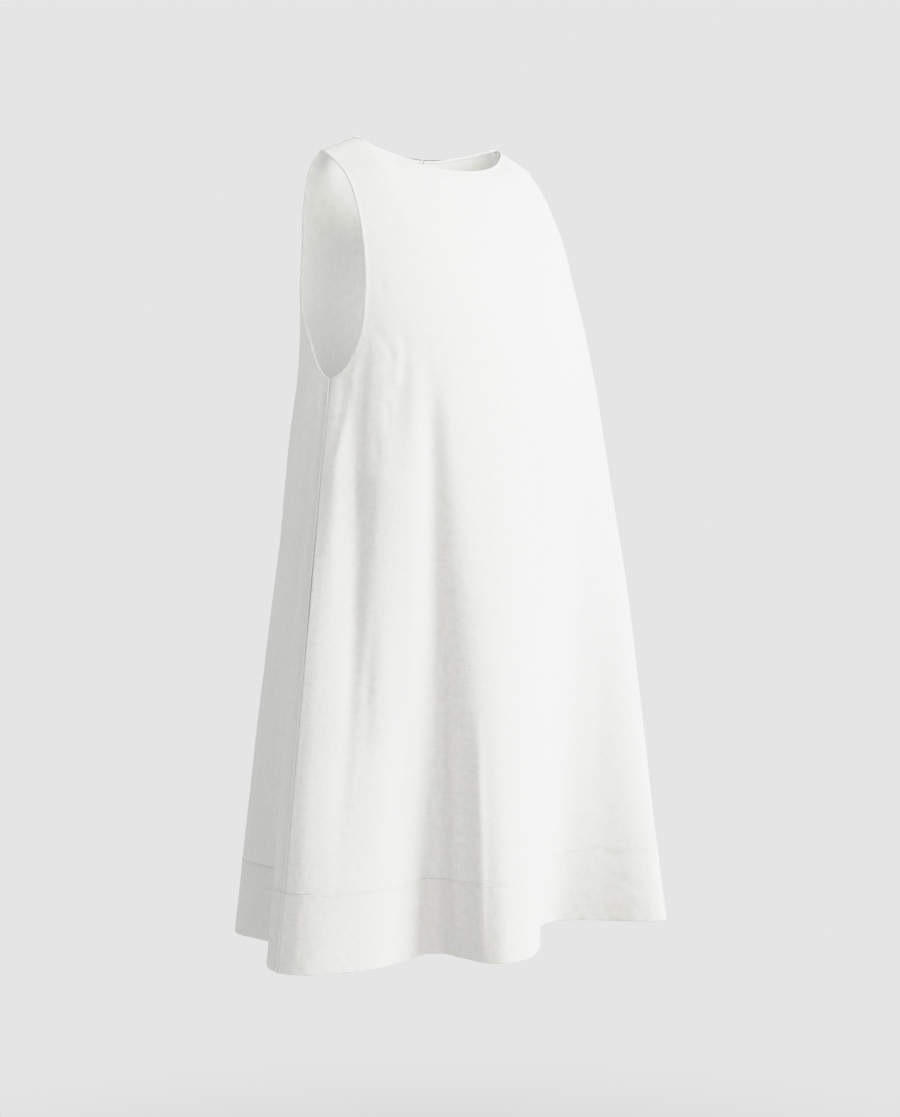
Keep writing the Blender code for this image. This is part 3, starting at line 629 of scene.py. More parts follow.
lineStep = 0.0008  # between the points of a line that distances are measured from
joined = 4e-6      # points nearer than this are one
onEdge = 1e-5      # points this near an edge lie on it
rollFlank = 0.55   # a roll is full up to this share of its width


def edgeDistances(points, edge):
    # distance of every grid point from a line of points
    tree = kdtree.KDTree(len(edge))
    for i, place in enumerate(edge):
        tree.insert(place, i)
    tree.balance()
    flat = points.reshape(-1, 3)
    return np.array([tree.find(place)[2] for place in flat]).reshape(points.shape[:2])


def refinedLine(points):
    # the same line with no two points further apart than one step
    dense = [points[0]]
    for start, end in zip(points[:-1], points[1:]):
        steps = max(1, int(math.ceil(np.linalg.norm(end - start) / lineStep)))
        dense += [start + (end - start) * k / steps for k in range(1, steps + 1)]
    return np.array(dense)


def halfThickness(thick, edges, rolls=()):
    # rounds the wall off at its edges, each with its own radius; a rolled edge is fuller for its own width
    half = np.full_like(edges[0][0], thick / 2)
    for edgeDistance, extra, width in rolls:
        half = half + extra * smoothStep(-width, -width * rollFlank, -edgeDistance)
    for edgeDistance, radius in edges:
        inside = np.where(edgeDistance < onEdge, 0.0, edgeDistance)
        half = half * np.sqrt(1.0 - (1.0 - np.clip(inside / radius, 0.0, 1.0)) ** 2)
    return half


def addPiece(name, points, faces, flat, finish):
    # flat holds each point's place on the cloth, for the weave
    mesh = bpy.data.meshes.new(name)
    mesh.from_pydata(points, [], faces)
    layer = mesh.uv_layers.new(name="clothFlat")
    corners = np.empty(len(mesh.loops), int)
    mesh.loops.foreach_get("vertex_index", corners)
    layer.data.foreach_set("uv", flat[corners].ravel())
    shape = bmesh.new()
    shape.from_mesh(mesh)
    bmesh.ops.remove_doubles(shape, verts=shape.verts, dist=joined)
    bmesh.ops.recalc_face_normals(shape, faces=shape.faces)
    shape.to_mesh(mesh)
    shape.free()
    mesh.shade_smooth()
    mesh.materials.append(finish)
    piece = bpy.data.objects.new(name, mesh)
    bpy.context.scene.collection.objects.link(piece)
    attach(piece, "root")
    return piece


def makeShell(name, outer, inner, flatU, flatV, finish, skipColumns=()):
    # outer and inner sheets of quads, joined where they meet at the edges
    rows, columns = outer.shape[:2]
    numbers = np.arange(rows * columns).reshape(rows, columns)
    keep = [c for c in range(columns - 1) if c not in skipColumns]
    a, b = numbers[:-1, keep].ravel(), numbers[:-1, [c + 1 for c in keep]].ravel()
    c, d = numbers[1:, [c + 1 for c in keep]].ravel(), numbers[1:, keep].ravel()
    outerFaces = np.stack([a, b, c, d], -1)
    innerFaces = outerFaces[:, ::-1] + rows * columns
    points = np.concatenate([outer.reshape(-1, 3), inner.reshape(-1, 3)])
    faces = np.concatenate([outerFaces, innerFaces])
    flat = np.concatenate([np.stack([flatU, flatV], -1).reshape(-1, 2)] * 2)
    return addPiece(name, points.tolist(), faces.tolist(), flat, finish)


crowd = (0.0, 0.0006, 0.0015, 0.0025, 0.0036, 0.0049, 0.0066, 0.0094, 0.0137)
crowdReach = 0.018


def spreadColumns(spots, spacing):
    # columns from -1 to 1 that crowd in on each of these spots
    values = set(np.round(np.arange(-1.0, 1.0 + spacing / 2, spacing), 5).tolist())
    for spot in spots:
        values = {v for v in values if abs(v - spot) > crowdReach}
    for spot in spots:
        values |= {round(spot + sign * offset, 5) for offset in crowd for sign in (-1, 1)}
    return np.array(sorted(v for v in values if -1.0 <= v <= 1.0))


def topEdge(side, columns):
    neckShare, neckHalf = dress["neckShare"], dress["neckHalf"]
    neckX = neckHalf * np.sin(np.clip(columns / neckShare, -1.0, 1.0) * np.pi / 2)
    alongShoulder = np.clip((np.abs(columns) - neckShare) / (1.0 - neckShare), 0.0, 1.0)
    x = neckX + np.sign(columns) * alongShoulder * (dress["shoulderTip"] - neckHalf)
    insideNeck = np.clip(1.0 - (neckX / neckHalf) ** 2, 0.0, 1.0)
    return x, dress["neckDrop"][side] * insideNeck ** dress["neckPower"][side]


def pocketMouth(drop):
    along = np.clip((drop - pocket["mouthTop"]) / (pocket["mouthFoot"] - pocket["mouthTop"]), 0.0, 1.0)
    return np.sin(np.pi * along) ** 2


# Front and back of the dress

panel = {
    "columnSpacing": 0.0135,
    "lowerRows": 110,
    "upperRows": 84,
    "edgeRoll": 0.00095,       # extra half thickness of the turned neck and armhole edges
    "edgeWidth": 0.0036,
    "edgeRound": 0.0014,
    "seamRound": 0.00035,
    "footRound": 0.00015,
    "seamDip": {"front": 0.0005, "back": 0.0002},  # the cloth sinks into the seam
    "seamDipWidth": 0.0015,
    "seamCord": 0.0013,        # narrow ridge of the sewn layers along the back panel's edge
    "seamCordAt": 0.0010,
    "seamCordWidth": 0.0009,
    "seamPinch": {"front": 0.0018, "back": 0.0010},  # the cloth stands up softly towards the seam
    "seamPinchWidth": 0.007,
    "seamRidge": 0.00025,      # where the pressed layers lie under the back panel
    "seamRidgeWidth": 0.0075,
    "seamRidgeStart": (0.0008, 0.002),
    "ridgeFlank": 0.7,         # the ridge is full up to this share of its width
    "seamQuiet": 0.010,        # creases die away this far from the seams
    "edgeQuiet": 0.012,        # and this far from the open edges
    "pinchStart": 0.04,        # below the underarm
    "aboveBand": (0.0, 0.00006, 0.00015, 0.0006, 0.0018),  # lowest rows
    "evenRowsFrom": 0.004,
    "bandOverlap": 0.00002,
    "slitLength": 0.105,
    "slitWidth": 0.0032,
    "slitReach": 0.02,         # share of the back that gives way to the slit
    "frontCut": (0.77, 0.79), "frontArea": 0.47,
    "backCut": (0.85, 0.78), "backArea": 0.55,
}

pocket = {
    "mouthTop": 0.370,         # drop of the ends of the opening in the seam
    "mouthFoot": 0.560,
    "gape": 0.0006,
    "gapeReach": 0.014,
    "bagTop": 0.345,
    "bagFoot": 0.640,
    "reach": 0.52,             # share of half the front that the bag lies behind
    "layer": 0.0010,
    "sewnGap": 0.0011,         # between the bag and the panels at its mouth
    "clear": 0.0030,           # and where it hangs free
    "ease": 0.15,              # share of its depth over which it comes away
    "slack": 0.0016,           # between its two layers
    "backOverlap": 0.035,
    "frontMargin": 0.004,
    "topSlope": 0.050,
    "footSlope": 0.060,
    "rounding": 0.92,
    "steps": 30,
    "heights": 60,
    "cut": (0.26, 0.29),
}


def panelGrid(side, columns):
    topX, topDrop = topEdge(side, columns)
    tipShare = shareAt(side, dress["shoulderTip"], 0.0)
    topShare = shareAt(side, topX, topDrop) / tipShare
    bandTop = dress["length"] - dress["bandHeight"] - panel["bandOverlap"]
    shares, drops = [], []
    lower = [bandTop - rise for rise in panel["aboveBand"]]
    evenFrom = bandTop - panel["evenRowsFrom"]
    lower += np.linspace(evenFrom, dress["underarm"], panel["lowerRows"], endpoint=False).tolist()
    for drop in lower:
        drops.append(np.full_like(columns, drop))
        shares.append(columns)
    for row in range(panel["upperRows"] + 1):
        rise = 0.5 - 0.5 * math.cos(math.pi * row / panel["upperRows"])
        edgeDrop = dress["underarm"] * (1.0 - rise)
        drops.append(edgeDrop + topDrop * rise)
        spread = (1.0 - rise) * columns + rise * topShare
        shares.append(spread * armholeShare(side, edgeDrop))
    return np.array(shares), np.array(drops)


band = {
    "cloth": 0.0020,           # two layers
    "proud": {"front": 0.0003, "back": 0.0001},
    "rows": 26,
    "columnSpacing": 0.0115,
    "footRound": 0.0010,
    "topRound": 0.00018,
    "topRoll": 0.00030,        # the turned top edge
    "topRollWidth": 0.0025,
    "underPanel": 0.00002,
    "edgeRows": (0.0, 0.00006, 0.0002, 0.00045, 0.0009, 0.0016, 0.0026, 0.0040),
    "middleRowsFrom": 0.0065,
    "puckerHeight": 0.0020,    # small pulls up from the sewn edge
    "puckerWidth": 0.009,
    "puckerTilt": 0.7,         # they run up slantwise
    "puckerReach": 0.011,
    "puckerPatch": 0.09,       # where they are strong and where weak
    "puckerStrength": (0.25, 0.6),
    "puckerTop": (0.6, 0.7),   # height and reach under the band's top, as shares of those at the foot
    "puckerShift": {"front": 21.0, "back": 34.0},
    "patchShift": 5.0,
    "puckerSteps": (0.6, 1600),
    "frontCut": (0.77, 0.083),
    "backCut": (0.85, 0.083),
}


def bandPuckers(side, shares, drops):
    # short uneven pulls along the hem's foot and just under the band's top
    shift = band["puckerShift"][side]
    reach, count = band["puckerSteps"]
    along = np.linspace(-reach, reach, count)
    least, usual = band["puckerStrength"]
    strength = np.empty_like(along)
    for i, at in enumerate(along):
        wave = noise.noise(Vector((at / band["puckerWidth"], 0.0, shift)))
        patch = noise.noise(Vector((at / band["puckerPatch"], 0.0, shift + band["patchShift"])))
        strength[i] = wave * max(least, usual + patch)
    toFoot = dress["length"] - drops
    toTop = np.abs(drops - dress["length"] + dress["bandHeight"])
    slanted = shares * halfGirth(side, drops) + band["puckerTilt"] * toFoot
    topHeight, topReach = band["puckerTop"]
    fade = np.exp(-toFoot / band["puckerReach"])
    fade = fade + topHeight * np.exp(-toTop / (band["puckerReach"] * topReach))
    return band["puckerHeight"] * np.interp(slanted, along, strength) * fade


def sidePinch(side, toSide):
    return panel["seamPinch"][side] * np.exp(-toSide / panel["seamPinchWidth"])


def seamRelief(side, toSeam):
    relief = -panel["seamDip"][side] * np.exp(-(toSeam / panel["seamDipWidth"]) ** 2)
    if side == "front":
        return relief
    width = panel["seamRidgeWidth"]
    fromCord = (toSeam - panel["seamCordAt"]) / panel["seamCordWidth"]
    ridge = smoothStep(*panel["seamRidgeStart"], toSeam)
    ridge = ridge * smoothStep(-width, -width * panel["ridgeFlank"], -toSeam)
    return relief + panel["seamCord"] * np.exp(-fromCord**2) + panel["seamRidge"] * ridge


def panelShell(name, side, finish):
    spots = (-1.0, -dress["neckShare"], dress["neckShare"], 1.0)
    if side == "back":
        spots += (0.0,)
    columns = spreadColumns(spots, panel["columnSpacing"])
    skip = ()
    if side == "back":
        centre = int(np.argmin(np.abs(columns)))
        columns = np.insert(columns, centre, columns[centre])
        skip = (centre,)
    shares, drops = panelGrid(side, columns)
    base = clothPoint(side, shares, drops)
    normals = clothNormal(side, shares, drops)
    onShoulder = np.abs(columns) >= dress["neckShare"] - tinyStep
    normals[-1, onShoulder, 1] = 0.0
    normals[-1] /= np.linalg.norm(normals[-1], axis=-1, keepdims=True)
    seamRows = drops[:, 0] >= dress["underarm"] - 1e-6
    openEdges = [refinedLine(base[~seamRows, column]) for column in (0, -1)]
    openEdges.append(refinedLine(base[-1, ~onShoulder]))
    sideSeams = np.concatenate([refinedLine(base[seamRows, column]) for column in (0, -1)])
    shoulders = [sign * columns >= dress["neckShare"] - tinyStep for sign in (1, -1)]
    shoulderSeams = np.concatenate([refinedLine(base[-1, shoulder]) for shoulder in shoulders])
    foot = refinedLine(base[0])
    if side == "back":
        depth = drops[:, centre] - drops[-1, centre]
        openRows = depth < panel["slitLength"]
        halfGap = panel["slitWidth"] / 2 * np.clip(1.0 - depth / panel["slitLength"], 0.0, 1.0)
        fade = np.exp(-np.abs(shares) / panel["slitReach"])
        push = np.where(shares < 0, -1.0, 1.0) * fade * halfGap[:, None]
        push[:, centre], push[:, centre + 1] = -halfGap, halfGap
        base[..., 0] += push
        openEdges.append(refinedLine(base[openRows, centre]))
        openEdges.append(refinedLine(base[openRows, centre + 1]))
    toOpen = edgeDistances(base, np.concatenate(openEdges))
    toSide = edgeDistances(base, sideSeams)
    toShoulder = edgeDistances(base, shoulderSeams)
    toFoot = edgeDistances(base, foot)

    relief = creaseRelief(side, shares, drops) + rumpleRelief(side, shares, drops)
    relief = relief + bandPuckers(side, shares, drops)
    toSeam = np.minimum(toSide, toShoulder)
    relief = relief * smoothStep(0.0, panel["edgeQuiet"], toOpen)
    relief = relief * smoothStep(0.0, panel["seamQuiet"], toSeam)
    belowArm = smoothStep(dress["underarm"], dress["underarm"] + panel["pinchStart"], drops)
    relief = relief + seamRelief(side, toSeam) + sidePinch(side, toSide) * belowArm

    edges = [(toOpen, panel["edgeRound"]), (toSeam, panel["seamRound"]), (toFoot, panel["footRound"])]
    half = halfThickness(dress["cloth"], edges, [(toOpen, panel["edgeRoll"], panel["edgeWidth"])])
    middle = base + (relief - dress["cloth"] / 2)[..., None] * normals
    if side == "front":
        mouth = pocketMouth(drops) * pocket["gape"] * np.exp(-toSide / pocket["gapeReach"])
        middle[..., 1] -= mouth * seamRows[:, None]
    outer, inner = middle + half[..., None] * normals, middle - half[..., None] * normals
    return makeShell(name, outer, inner, shares * halfGirth(side, drops), -drops, finish, skip)


frontCloth = panelShell("frontCloth", "front", linenCloth)
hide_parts("front_panel")

backCloth = panelShell("backCloth", "back", linenCloth)
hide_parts("back_panel")
print("front and back made")


# Hem bands

def bandShell(name, side, finish):
    columns = spreadColumns((-1.0, 1.0), band["columnSpacing"])
    top = dress["length"] - dress["bandHeight"] + band["underPanel"]
    steps, margin = band["edgeRows"], band["middleRowsFrom"]
    drops = [dress["length"] - step for step in steps]
    drops += np.linspace(dress["length"] - margin, top + margin, band["rows"]).tolist()
    drops += [top + step for step in reversed(steps)]
    drops = np.array(drops)[:, None] * np.ones_like(columns)
    shares = np.broadcast_to(columns, drops.shape)
    base = clothPoint(side, shares, drops)
    normals = clothNormal(side, shares, drops)
    normals[..., 2] = 0.0
    normals /= np.linalg.norm(normals, axis=-1, keepdims=True)
    seams = np.concatenate([refinedLine(base[:, 0]), refinedLine(base[:, -1])])
    lines = (refinedLine(base[0]), refinedLine(base[-1]), seams)
    toFoot, toTop, toSeam = [edgeDistances(base, line) for line in lines]
    relief = creaseRelief(side, shares, drops) + rumpleRelief(side, shares, drops)
    relief = (relief + bandPuckers(side, shares, drops)) * smoothStep(0.0, panel["seamQuiet"], toSeam)
    relief = relief + seamRelief(side, toSeam) + sidePinch(side, toSeam)
    edges = [(toFoot, band["footRound"]), (toTop, band["topRound"]), (toSeam, panel["seamRound"])]
    half = halfThickness(band["cloth"], edges, [(toTop, band["topRoll"], band["topRollWidth"])])
    middle = base + (relief + band["proud"][side] - band["cloth"] / 2)[..., None] * normals
    outer, inner = middle + half[..., None] * normals, middle - half[..., None] * normals
    return makeShell(name, outer, inner, shares * halfGirth(side, drops), -drops, finish)


frontBand = bandShell("frontBand", "front", linenBand)
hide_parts("front_hem_band")

backBand = bandShell("backBand", "back", linenBand)
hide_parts("back_hem_band")
print("hem bands made")


# Pocket bags, hanging inside behind the front panel

def insidePoint(share, drop, inset):
    return clothPoint("front", share, drop) - inset[..., None] * clothNormal("front", share, drop)


def pocketSkin(sign, shrink):
    # one ring of points round the bag for each step in from its mouth
    nearEdge, farEdge = 1.0 - pocket["frontMargin"], 1.0 + pocket["backOverlap"]
    fold = 1.0 - pocket["reach"] + shrink / dress["neckHalf"]
    rings = []
    for along in np.linspace(0.0, 1.0, pocket["steps"] + 1):
        ease = min(1.0, along / pocket["ease"])
        panelInset = dress["cloth"] + pocket["sewnGap"] + (pocket["clear"] - pocket["sewnGap"]) * ease
        nearInset = panelInset + shrink
        farInset = panelInset + pocket["layer"] + (pocket["layer"] + pocket["slack"]) * ease - shrink
        nearShare = nearEdge + (fold - nearEdge) * along
        farShare = farEdge + (fold - farEdge) * along
        rounding = 1.0 - math.sqrt(1.0 - pocket["rounding"] * along**3)
        drops = np.linspace(pocket["bagTop"] + shrink + pocket["topSlope"] * rounding,
                            pocket["bagFoot"] - shrink - pocket["footSlope"] * rounding,
                            pocket["heights"] + 1)
        same = np.ones_like(drops)
        near = insidePoint(sign * nearShare * same, drops, nearInset * same)
        far = insidePoint(sign * farShare * same, drops, farInset * same)
        rings.append(np.concatenate([near, far[::-1], near[:1]]))
    return np.array(rings)


def pocketBag(name, sign):
    outer, inner = pocketSkin(sign, 0.0), pocketSkin(sign, pocket["layer"])
    rings, around = outer.shape[:2]
    half = (around - 1) // 2
    points, faces = [], []
    for skin in (outer, inner):
        start = len(points)
        points += [tuple(p) for p in skin.reshape(-1, 3)]
        numbers = start + np.arange(rings * around).reshape(rings, around)
        for r in range(rings - 1):
            for i in range(around - 1):
                faces.append((numbers[r, i], numbers[r, i + 1], numbers[r + 1, i + 1], numbers[r + 1, i]))
        last = numbers[-1]
        for i in range(half - 1):
            faces.append((last[i], last[i + 1], last[around - 3 - i], last[around - 2 - i]))
    count = rings * around
    for i in range(around - 1):
        faces.append((i, i + 1, i + 1 + count, i + count))
    faces = [tuple(int(n) for n in face) for face in faces]
    return addPiece(name, points, faces, np.array(points)[:, [0, 2]], linenPocket)


for name, node, sign in (("rightPocket", "right_pocket_bag", -1), ("leftPocket", "left_pocket_bag", 1)):
    bag = pocketBag(name, sign)
    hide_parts(node)
print("pockets made")


# Seam allowances inside and rows of stitches outside

sewing = {
    "allowance": 0.010,        # layers of the side seam, pressed towards the back
    "underFront": 0.0035,
    "allowanceCloth": 0.0007,
    "allowanceRound": 0.0006,
    "allowanceEnds": (0.006, 0.004),  # it starts below the underarm and stops above the hem
    "allowanceRows": 150,
    "allowanceColumns": 13,
    "sharesPerMetre": {"front": 1 / 0.26, "back": 1 / 0.34},
    "overBand": (0.004, 0.001),       # it steps in above the band's top
    "edgeSteps": (0.001, 0.004),      # taken from one column and one row to the next at its edges
    "mostShare": 0.99,
    "flatScale": 0.3,
    "clear": 0.00025,          # from the panels to what lies on them
    "stitchPitch": 0.0026,
    "stitchLength": 0.0020,
    "stitchRadius": 0.00020,
    "fromSeam": 0.0030,        # row of stitches behind each side seam
    "seamRowEnds": (0.002, 0.001),  # it starts below the underarm and stops above the band
    "seamRowPoints": 400,
    "fromBandTop": 0.0024,     # row of stitches that holds the band
    "bandRowShare": 0.995,
    "bandRowPoints": 700,
    # each stitch: place along it, and thickness there
    "profile": ((-0.5, 0.25), (-0.32, 0.85), (0.0, 1.0), (0.32, 0.85), (0.5, 0.25)),
    "around": 6,
    "flatness": 0.8,
    "aheadStep": 0.0005,       # for finding the row's direction
    "arch": (0.35, 1.6),       # height of its middle and how far its ends go down
}


def allowanceStrip(name, sign):
    start, stop = sewing["allowanceEnds"]
    rows, columns = sewing["allowanceRows"], sewing["allowanceColumns"]
    drops = np.linspace(dress["underarm"] + start, dress["length"] - stop, rows)
    across = np.linspace(-sewing["underFront"] * sewing["sharesPerMetre"]["front"],
                         sewing["allowance"] * sewing["sharesPerMetre"]["back"], columns)
    shares = np.broadcast_to(sign * (1.0 + across), (rows, columns))
    drops = drops[:, None] * np.ones_like(shares)
    base = clothPoint("front", shares, drops)
    normals = clothNormal("front", np.clip(shares, -sewing["mostShare"], sewing["mostShare"]), drops)
    bandTop = dress["length"] - dress["bandHeight"]
    high, low = sewing["overBand"]
    bandDepth = band["cloth"] - band["proud"]["front"] - dress["cloth"]
    deeper = smoothStep(bandTop - high, bandTop - low, drops) * bandDepth
    inset = dress["cloth"] + sewing["clear"] + panel["seamDip"]["front"] + deeper
    columnStep, rowStep = sewing["edgeSteps"]
    toSides = np.minimum(np.arange(columns), np.arange(columns)[::-1])[None, :] * columnStep
    toEnds = np.minimum(np.arange(rows), np.arange(rows)[::-1])[:, None] * rowStep
    edge = np.minimum(toSides, toEnds)
    half = halfThickness(sewing["allowanceCloth"], [(edge, sewing["allowanceRound"])])
    middle = base - (inset + sewing["allowanceCloth"] / 2)[..., None] * normals
    return makeShell(name, middle + half[..., None] * normals, middle - half[..., None] * normals,
                     shares * sewing["flatScale"], -drops, linenCloth)


def stitchRow(name, points, normals):
    # one small thread capsule for each stitch along a line of points
    steps = np.linalg.norm(np.diff(points, axis=0), axis=1)
    reached = np.concatenate([[0.0], np.cumsum(steps)])
    count = int(reached[-1] // sewing["stitchPitch"])
    centres = (np.arange(count) + 0.5) * sewing["stitchPitch"]
    profile, around = sewing["profile"], sewing["around"]
    archTop, archFall = sewing["arch"]

    def at(values, where):
        return np.stack([np.interp(where, reached, values[:, k]) for k in range(3)], -1)

    verts, faces = [], []
    for centre in centres:
        middle = at(points, centre)
        ahead = at(points, centre + sewing["aheadStep"]) - at(points, centre - sewing["aheadStep"])
        ahead /= np.linalg.norm(ahead)
        up = at(normals, centre)
        up -= ahead * np.dot(up, ahead)
        up /= np.linalg.norm(up)
        out = np.cross(ahead, up)
        start = len(verts)
        for along, size in profile:
            for k in range(around):
                angle = 2 * math.pi * k / around
                ring = math.cos(angle) * up * sewing["flatness"] + math.sin(angle) * out
                lift = up * sewing["stitchRadius"] * (archTop - archFall * abs(along) ** 2)
                spot = middle + ahead * along * sewing["stitchLength"]
                verts.append(tuple(spot + sewing["stitchRadius"] * size * ring + lift))
        for r in range(len(profile) - 1):
            for k in range(around):
                n = (k + 1) % around
                faces.append((start + r * around + k, start + r * around + n,
                              start + (r + 1) * around + n, start + (r + 1) * around + k))
        faces.append(tuple(start + k for k in reversed(range(around))))
        faces.append(tuple(start + (len(profile) - 1) * around + k for k in range(around)))
    mesh = bpy.data.meshes.new(name)
    mesh.from_pydata(verts, [], faces)
    mesh.shade_smooth()
    mesh.materials.append(sewingThread)
    piece = bpy.data.objects.new(name, mesh)
    bpy.context.scene.collection.objects.link(piece)
    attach(piece, "root")
    return piece


for word, sign in (("right", -1), ("left", 1)):
    strip = allowanceStrip(word + "SeamAllowance", sign)
    start, stop = sewing["seamRowEnds"]
    bandTop = dress["length"] - dress["bandHeight"]
    drops = np.linspace(dress["underarm"] + start, bandTop - stop, sewing["seamRowPoints"])
    shares = sign * (1.0 - sewing["fromSeam"] / halfGirth("back", drops))
    normals = clothNormal("back", shares, drops)
    toSeam = np.full((len(drops), 1), sewing["fromSeam"])
    lift = seamRelief("back", toSeam) + sidePinch("back", toSeam)
    stitchRow(word + "SeamStitches", clothPoint("back", shares, drops) + lift * normals, normals)

for side in ("front", "back"):
    shares = np.linspace(-sewing["bandRowShare"], sewing["bandRowShare"], sewing["bandRowPoints"])
    drops = np.full_like(shares, dress["length"] - dress["bandHeight"] + sewing["fromBandTop"])
    normals = clothNormal(side, shares, drops)
    drape = band["proud"][side] + sum(relief(side, shares[None], drops[None])[0]
                                      for relief in (creaseRelief, rumpleRelief, bandPuckers))
    stitchRow(side + "BandStitches", clothPoint(side, shares, drops) + drape[:, None] * normals, normals)
print("sewing made")

for node, finish in (("neck_button", pearl), ("button_loop", sewingThread)):
    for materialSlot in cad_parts[node].material_slots:
        materialSlot.material = finish


# Studio: pale floor and surroundings, soft lights, camera at the photograph's angle

studio = {
    "paleGrey": 0.783,         # the plain surroundings
    "ceilingGrey": 0.45,
    "floorHeight": -1.40,
    "floorRadius": 14.0, "floorSides": 96,
    "groundAt": 0.18, "ceilingAt": 0.65,  # heights in the surroundings, from 0 to 1
    "shadowGrey": 0.50,        # on the floor under the dress
    "shadowRadius": 1.5, "shadowFrom": 0.1,
    "keyPower": 84.0, "keySize": 1.7, "keyPlace": (1.9, -2.5, 0.85),
    "fillPower": 27.0, "fillSize": 2.0, "fillPlace": (-0.6, -3.2, 0.9),
    "backPower": 26.0, "backSize": 1.6, "backPlace": (2.3, 2.5, 0.9),
    "insidePower": 0.45, "insideSize": 0.15, "insidePlace": (0.02, -0.04, -0.20),
    "insideColour": (0.93, 0.97, 1.0),
    "aim": (0.0, 0.0, -0.42),
    # how the picture's tones follow the light: whites roll off gently above the surroundings
    "tones": ((0.0, 0.0), (0.40, 0.40), (0.60, 0.60), (0.783, 0.783), (1.0, 0.875), (1.5, 0.925)),
}

photo = {
    "width": 900, "height": 1117,
    "focal": 2380.0,           # pixels
    "distance": 2.6,
    "angle": 40.0,             # degrees round to the wearer's right
    "originAt": (427.0, 373.5),  # where the shoulder line's axis meets the eye level, in pixels
    "eyeHeight": -0.246,
    "sensor": 36.0,            # millimetres
}


def greyRamp(tree, factor, *stops):
    ramp = tree.nodes.new("ShaderNodeValToRGB")
    for element, (position, grey) in zip(ramp.color_ramp.elements, stops):
        element.position = position
        element.color = (grey, grey, grey, 1.0)
    tree.links.new(factor, ramp.inputs["Fac"])
    return ramp


def makeStudio():
    world = bpy.data.worlds.new("studio")
    bpy.context.scene.world = world
    world.use_nodes = True
    tree = world.node_tree
    background = tree.nodes["Background"]
    coordinates = tree.nodes.new("ShaderNodeTexCoord")
    parts = tree.nodes.new("ShaderNodeSeparateXYZ")
    tree.links.new(coordinates.outputs["Generated"], parts.inputs[0])
    ground, ceiling = (studio["groundAt"], studio["paleGrey"]), (studio["ceilingAt"], studio["ceilingGrey"])
    upward = greyRamp(tree, parts.outputs["Z"], ground, ceiling)
    tree.links.new(upward.outputs["Color"], background.inputs["Color"])

    mesh = bpy.data.meshes.new("floor")
    shape = bmesh.new()
    bmesh.ops.create_circle(shape, cap_ends=True, radius=studio["floorRadius"], segments=studio["floorSides"])
    shape.to_mesh(mesh)
    shape.free()
    floor = bpy.data.objects.new("floor", mesh)
    floor.location.z = studio["floorHeight"]
    bpy.context.scene.collection.objects.link(floor)
    made, floorTree, surface = newMaterial("paleFloor")
    surface.inputs["Base Color"].default_value = (0.0, 0.0, 0.0, 1.0)
    surface.inputs["Roughness"].default_value = 1.0
    surface.inputs["Specular IOR Level"].default_value = 0.0
    surface.inputs["Emission Strength"].default_value = 1.0
    place = floorTree.nodes.new("ShaderNodeTexCoord")
    reach = floorTree.nodes.new("ShaderNodeVectorMath")
    reach.operation = "LENGTH"
    floorTree.links.new(place.outputs["Object"], reach.inputs[0])
    outward = mathNode(floorTree, "DIVIDE", reach.outputs["Value"], studio["shadowRadius"])
    under = (studio["shadowFrom"], studio["shadowGrey"])
    shadow = greyRamp(floorTree, outward, under, (1.0, studio["paleGrey"]))
    shadow.color_ramp.interpolation = "EASE"
    floorTree.links.new(shadow.outputs["Color"], surface.inputs["Emission Color"])
    mesh.materials.append(made)


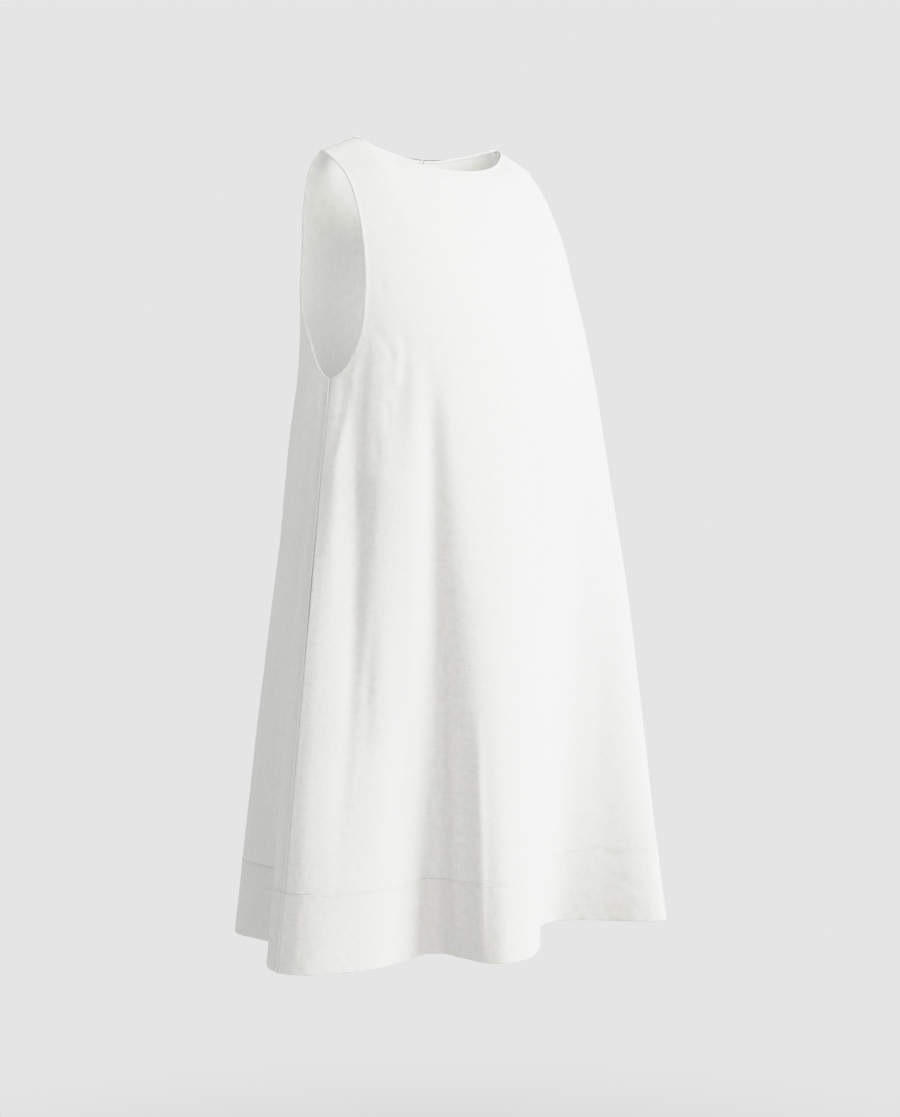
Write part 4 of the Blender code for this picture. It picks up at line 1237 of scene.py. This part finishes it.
def areaLight(name, power, size, place):
    light = bpy.data.lights.new(name, "AREA")
    light.energy = power
    light.size = size
    lamp = bpy.data.objects.new(name, light)
    lamp.location = place
    lamp.rotation_euler = (Vector(studio["aim"]) - Vector(place)).to_track_quat("-Z", "Y").to_euler()
    lamp.visible_camera = False
    bpy.context.scene.collection.objects.link(lamp)


def insideLight():
    # a soft glow in the hollow, as cloth this thin lets through
    light = bpy.data.lights.new("insideLight", "POINT")
    light.energy = studio["insidePower"]
    light.color = studio["insideColour"]
    light.shadow_soft_size = studio["insideSize"]
    lamp = bpy.data.objects.new("insideLight", light)
    lamp.location = studio["insidePlace"]
    lamp.visible_camera = False
    bpy.context.scene.collection.objects.link(lamp)


def setTones():
    settings = bpy.context.scene.view_settings
    settings.view_transform = "Standard"
    settings.look = "None"
    settings.use_curve_mapping = True
    whitest = studio["tones"][-1][0]
    settings.curve_mapping.white_level = (whitest,) * 3
    curve = settings.curve_mapping.curves[3]
    for given, shown in studio["tones"][1:-1]:
        curve.points.new(given / whitest, shown)
    curve.points[-1].location = (1.0, studio["tones"][-1][1])
    settings.curve_mapping.update()


def makeCamera():
    data = bpy.data.cameras.new("camera")
    data.sensor_width = photo["sensor"]
    data.lens = data.sensor_width * photo["focal"] / photo["height"]
    eye = bpy.data.objects.new("camera", data)
    bpy.context.scene.collection.objects.link(eye)
    angle = math.radians(photo["angle"])
    forward = Vector((math.sin(angle), math.cos(angle), 0.0))
    right = Vector((math.cos(angle), -math.sin(angle), 0.0))
    yaw = math.atan((photo["width"] / 2 - photo["originAt"][0]) / photo["focal"])
    tilt = math.atan((photo["height"] / 2 - photo["originAt"][1]) / photo["focal"])
    ahead = forward * math.cos(yaw) + right * math.sin(yaw)
    aside = ahead.cross(Vector((0.0, 0.0, 1.0)))
    look = ahead * math.cos(tilt) - Vector((0.0, 0.0, 1.0)) * math.sin(tilt)
    up = aside.cross(look)
    place = -forward * photo["distance"] + Vector((0.0, 0.0, photo["eyeHeight"]))
    eye.matrix_world = Matrix.Translation(place) @ Matrix((aside, up, -look)).transposed().to_4x4()
    bpy.context.scene.camera = eye


makeStudio()
for use in ("key", "fill", "back"):
    areaLight(use + "Light", studio[use + "Power"], studio[use + "Size"], studio[use + "Place"])
insideLight()
makeCamera()
setTones()
print("studio made")
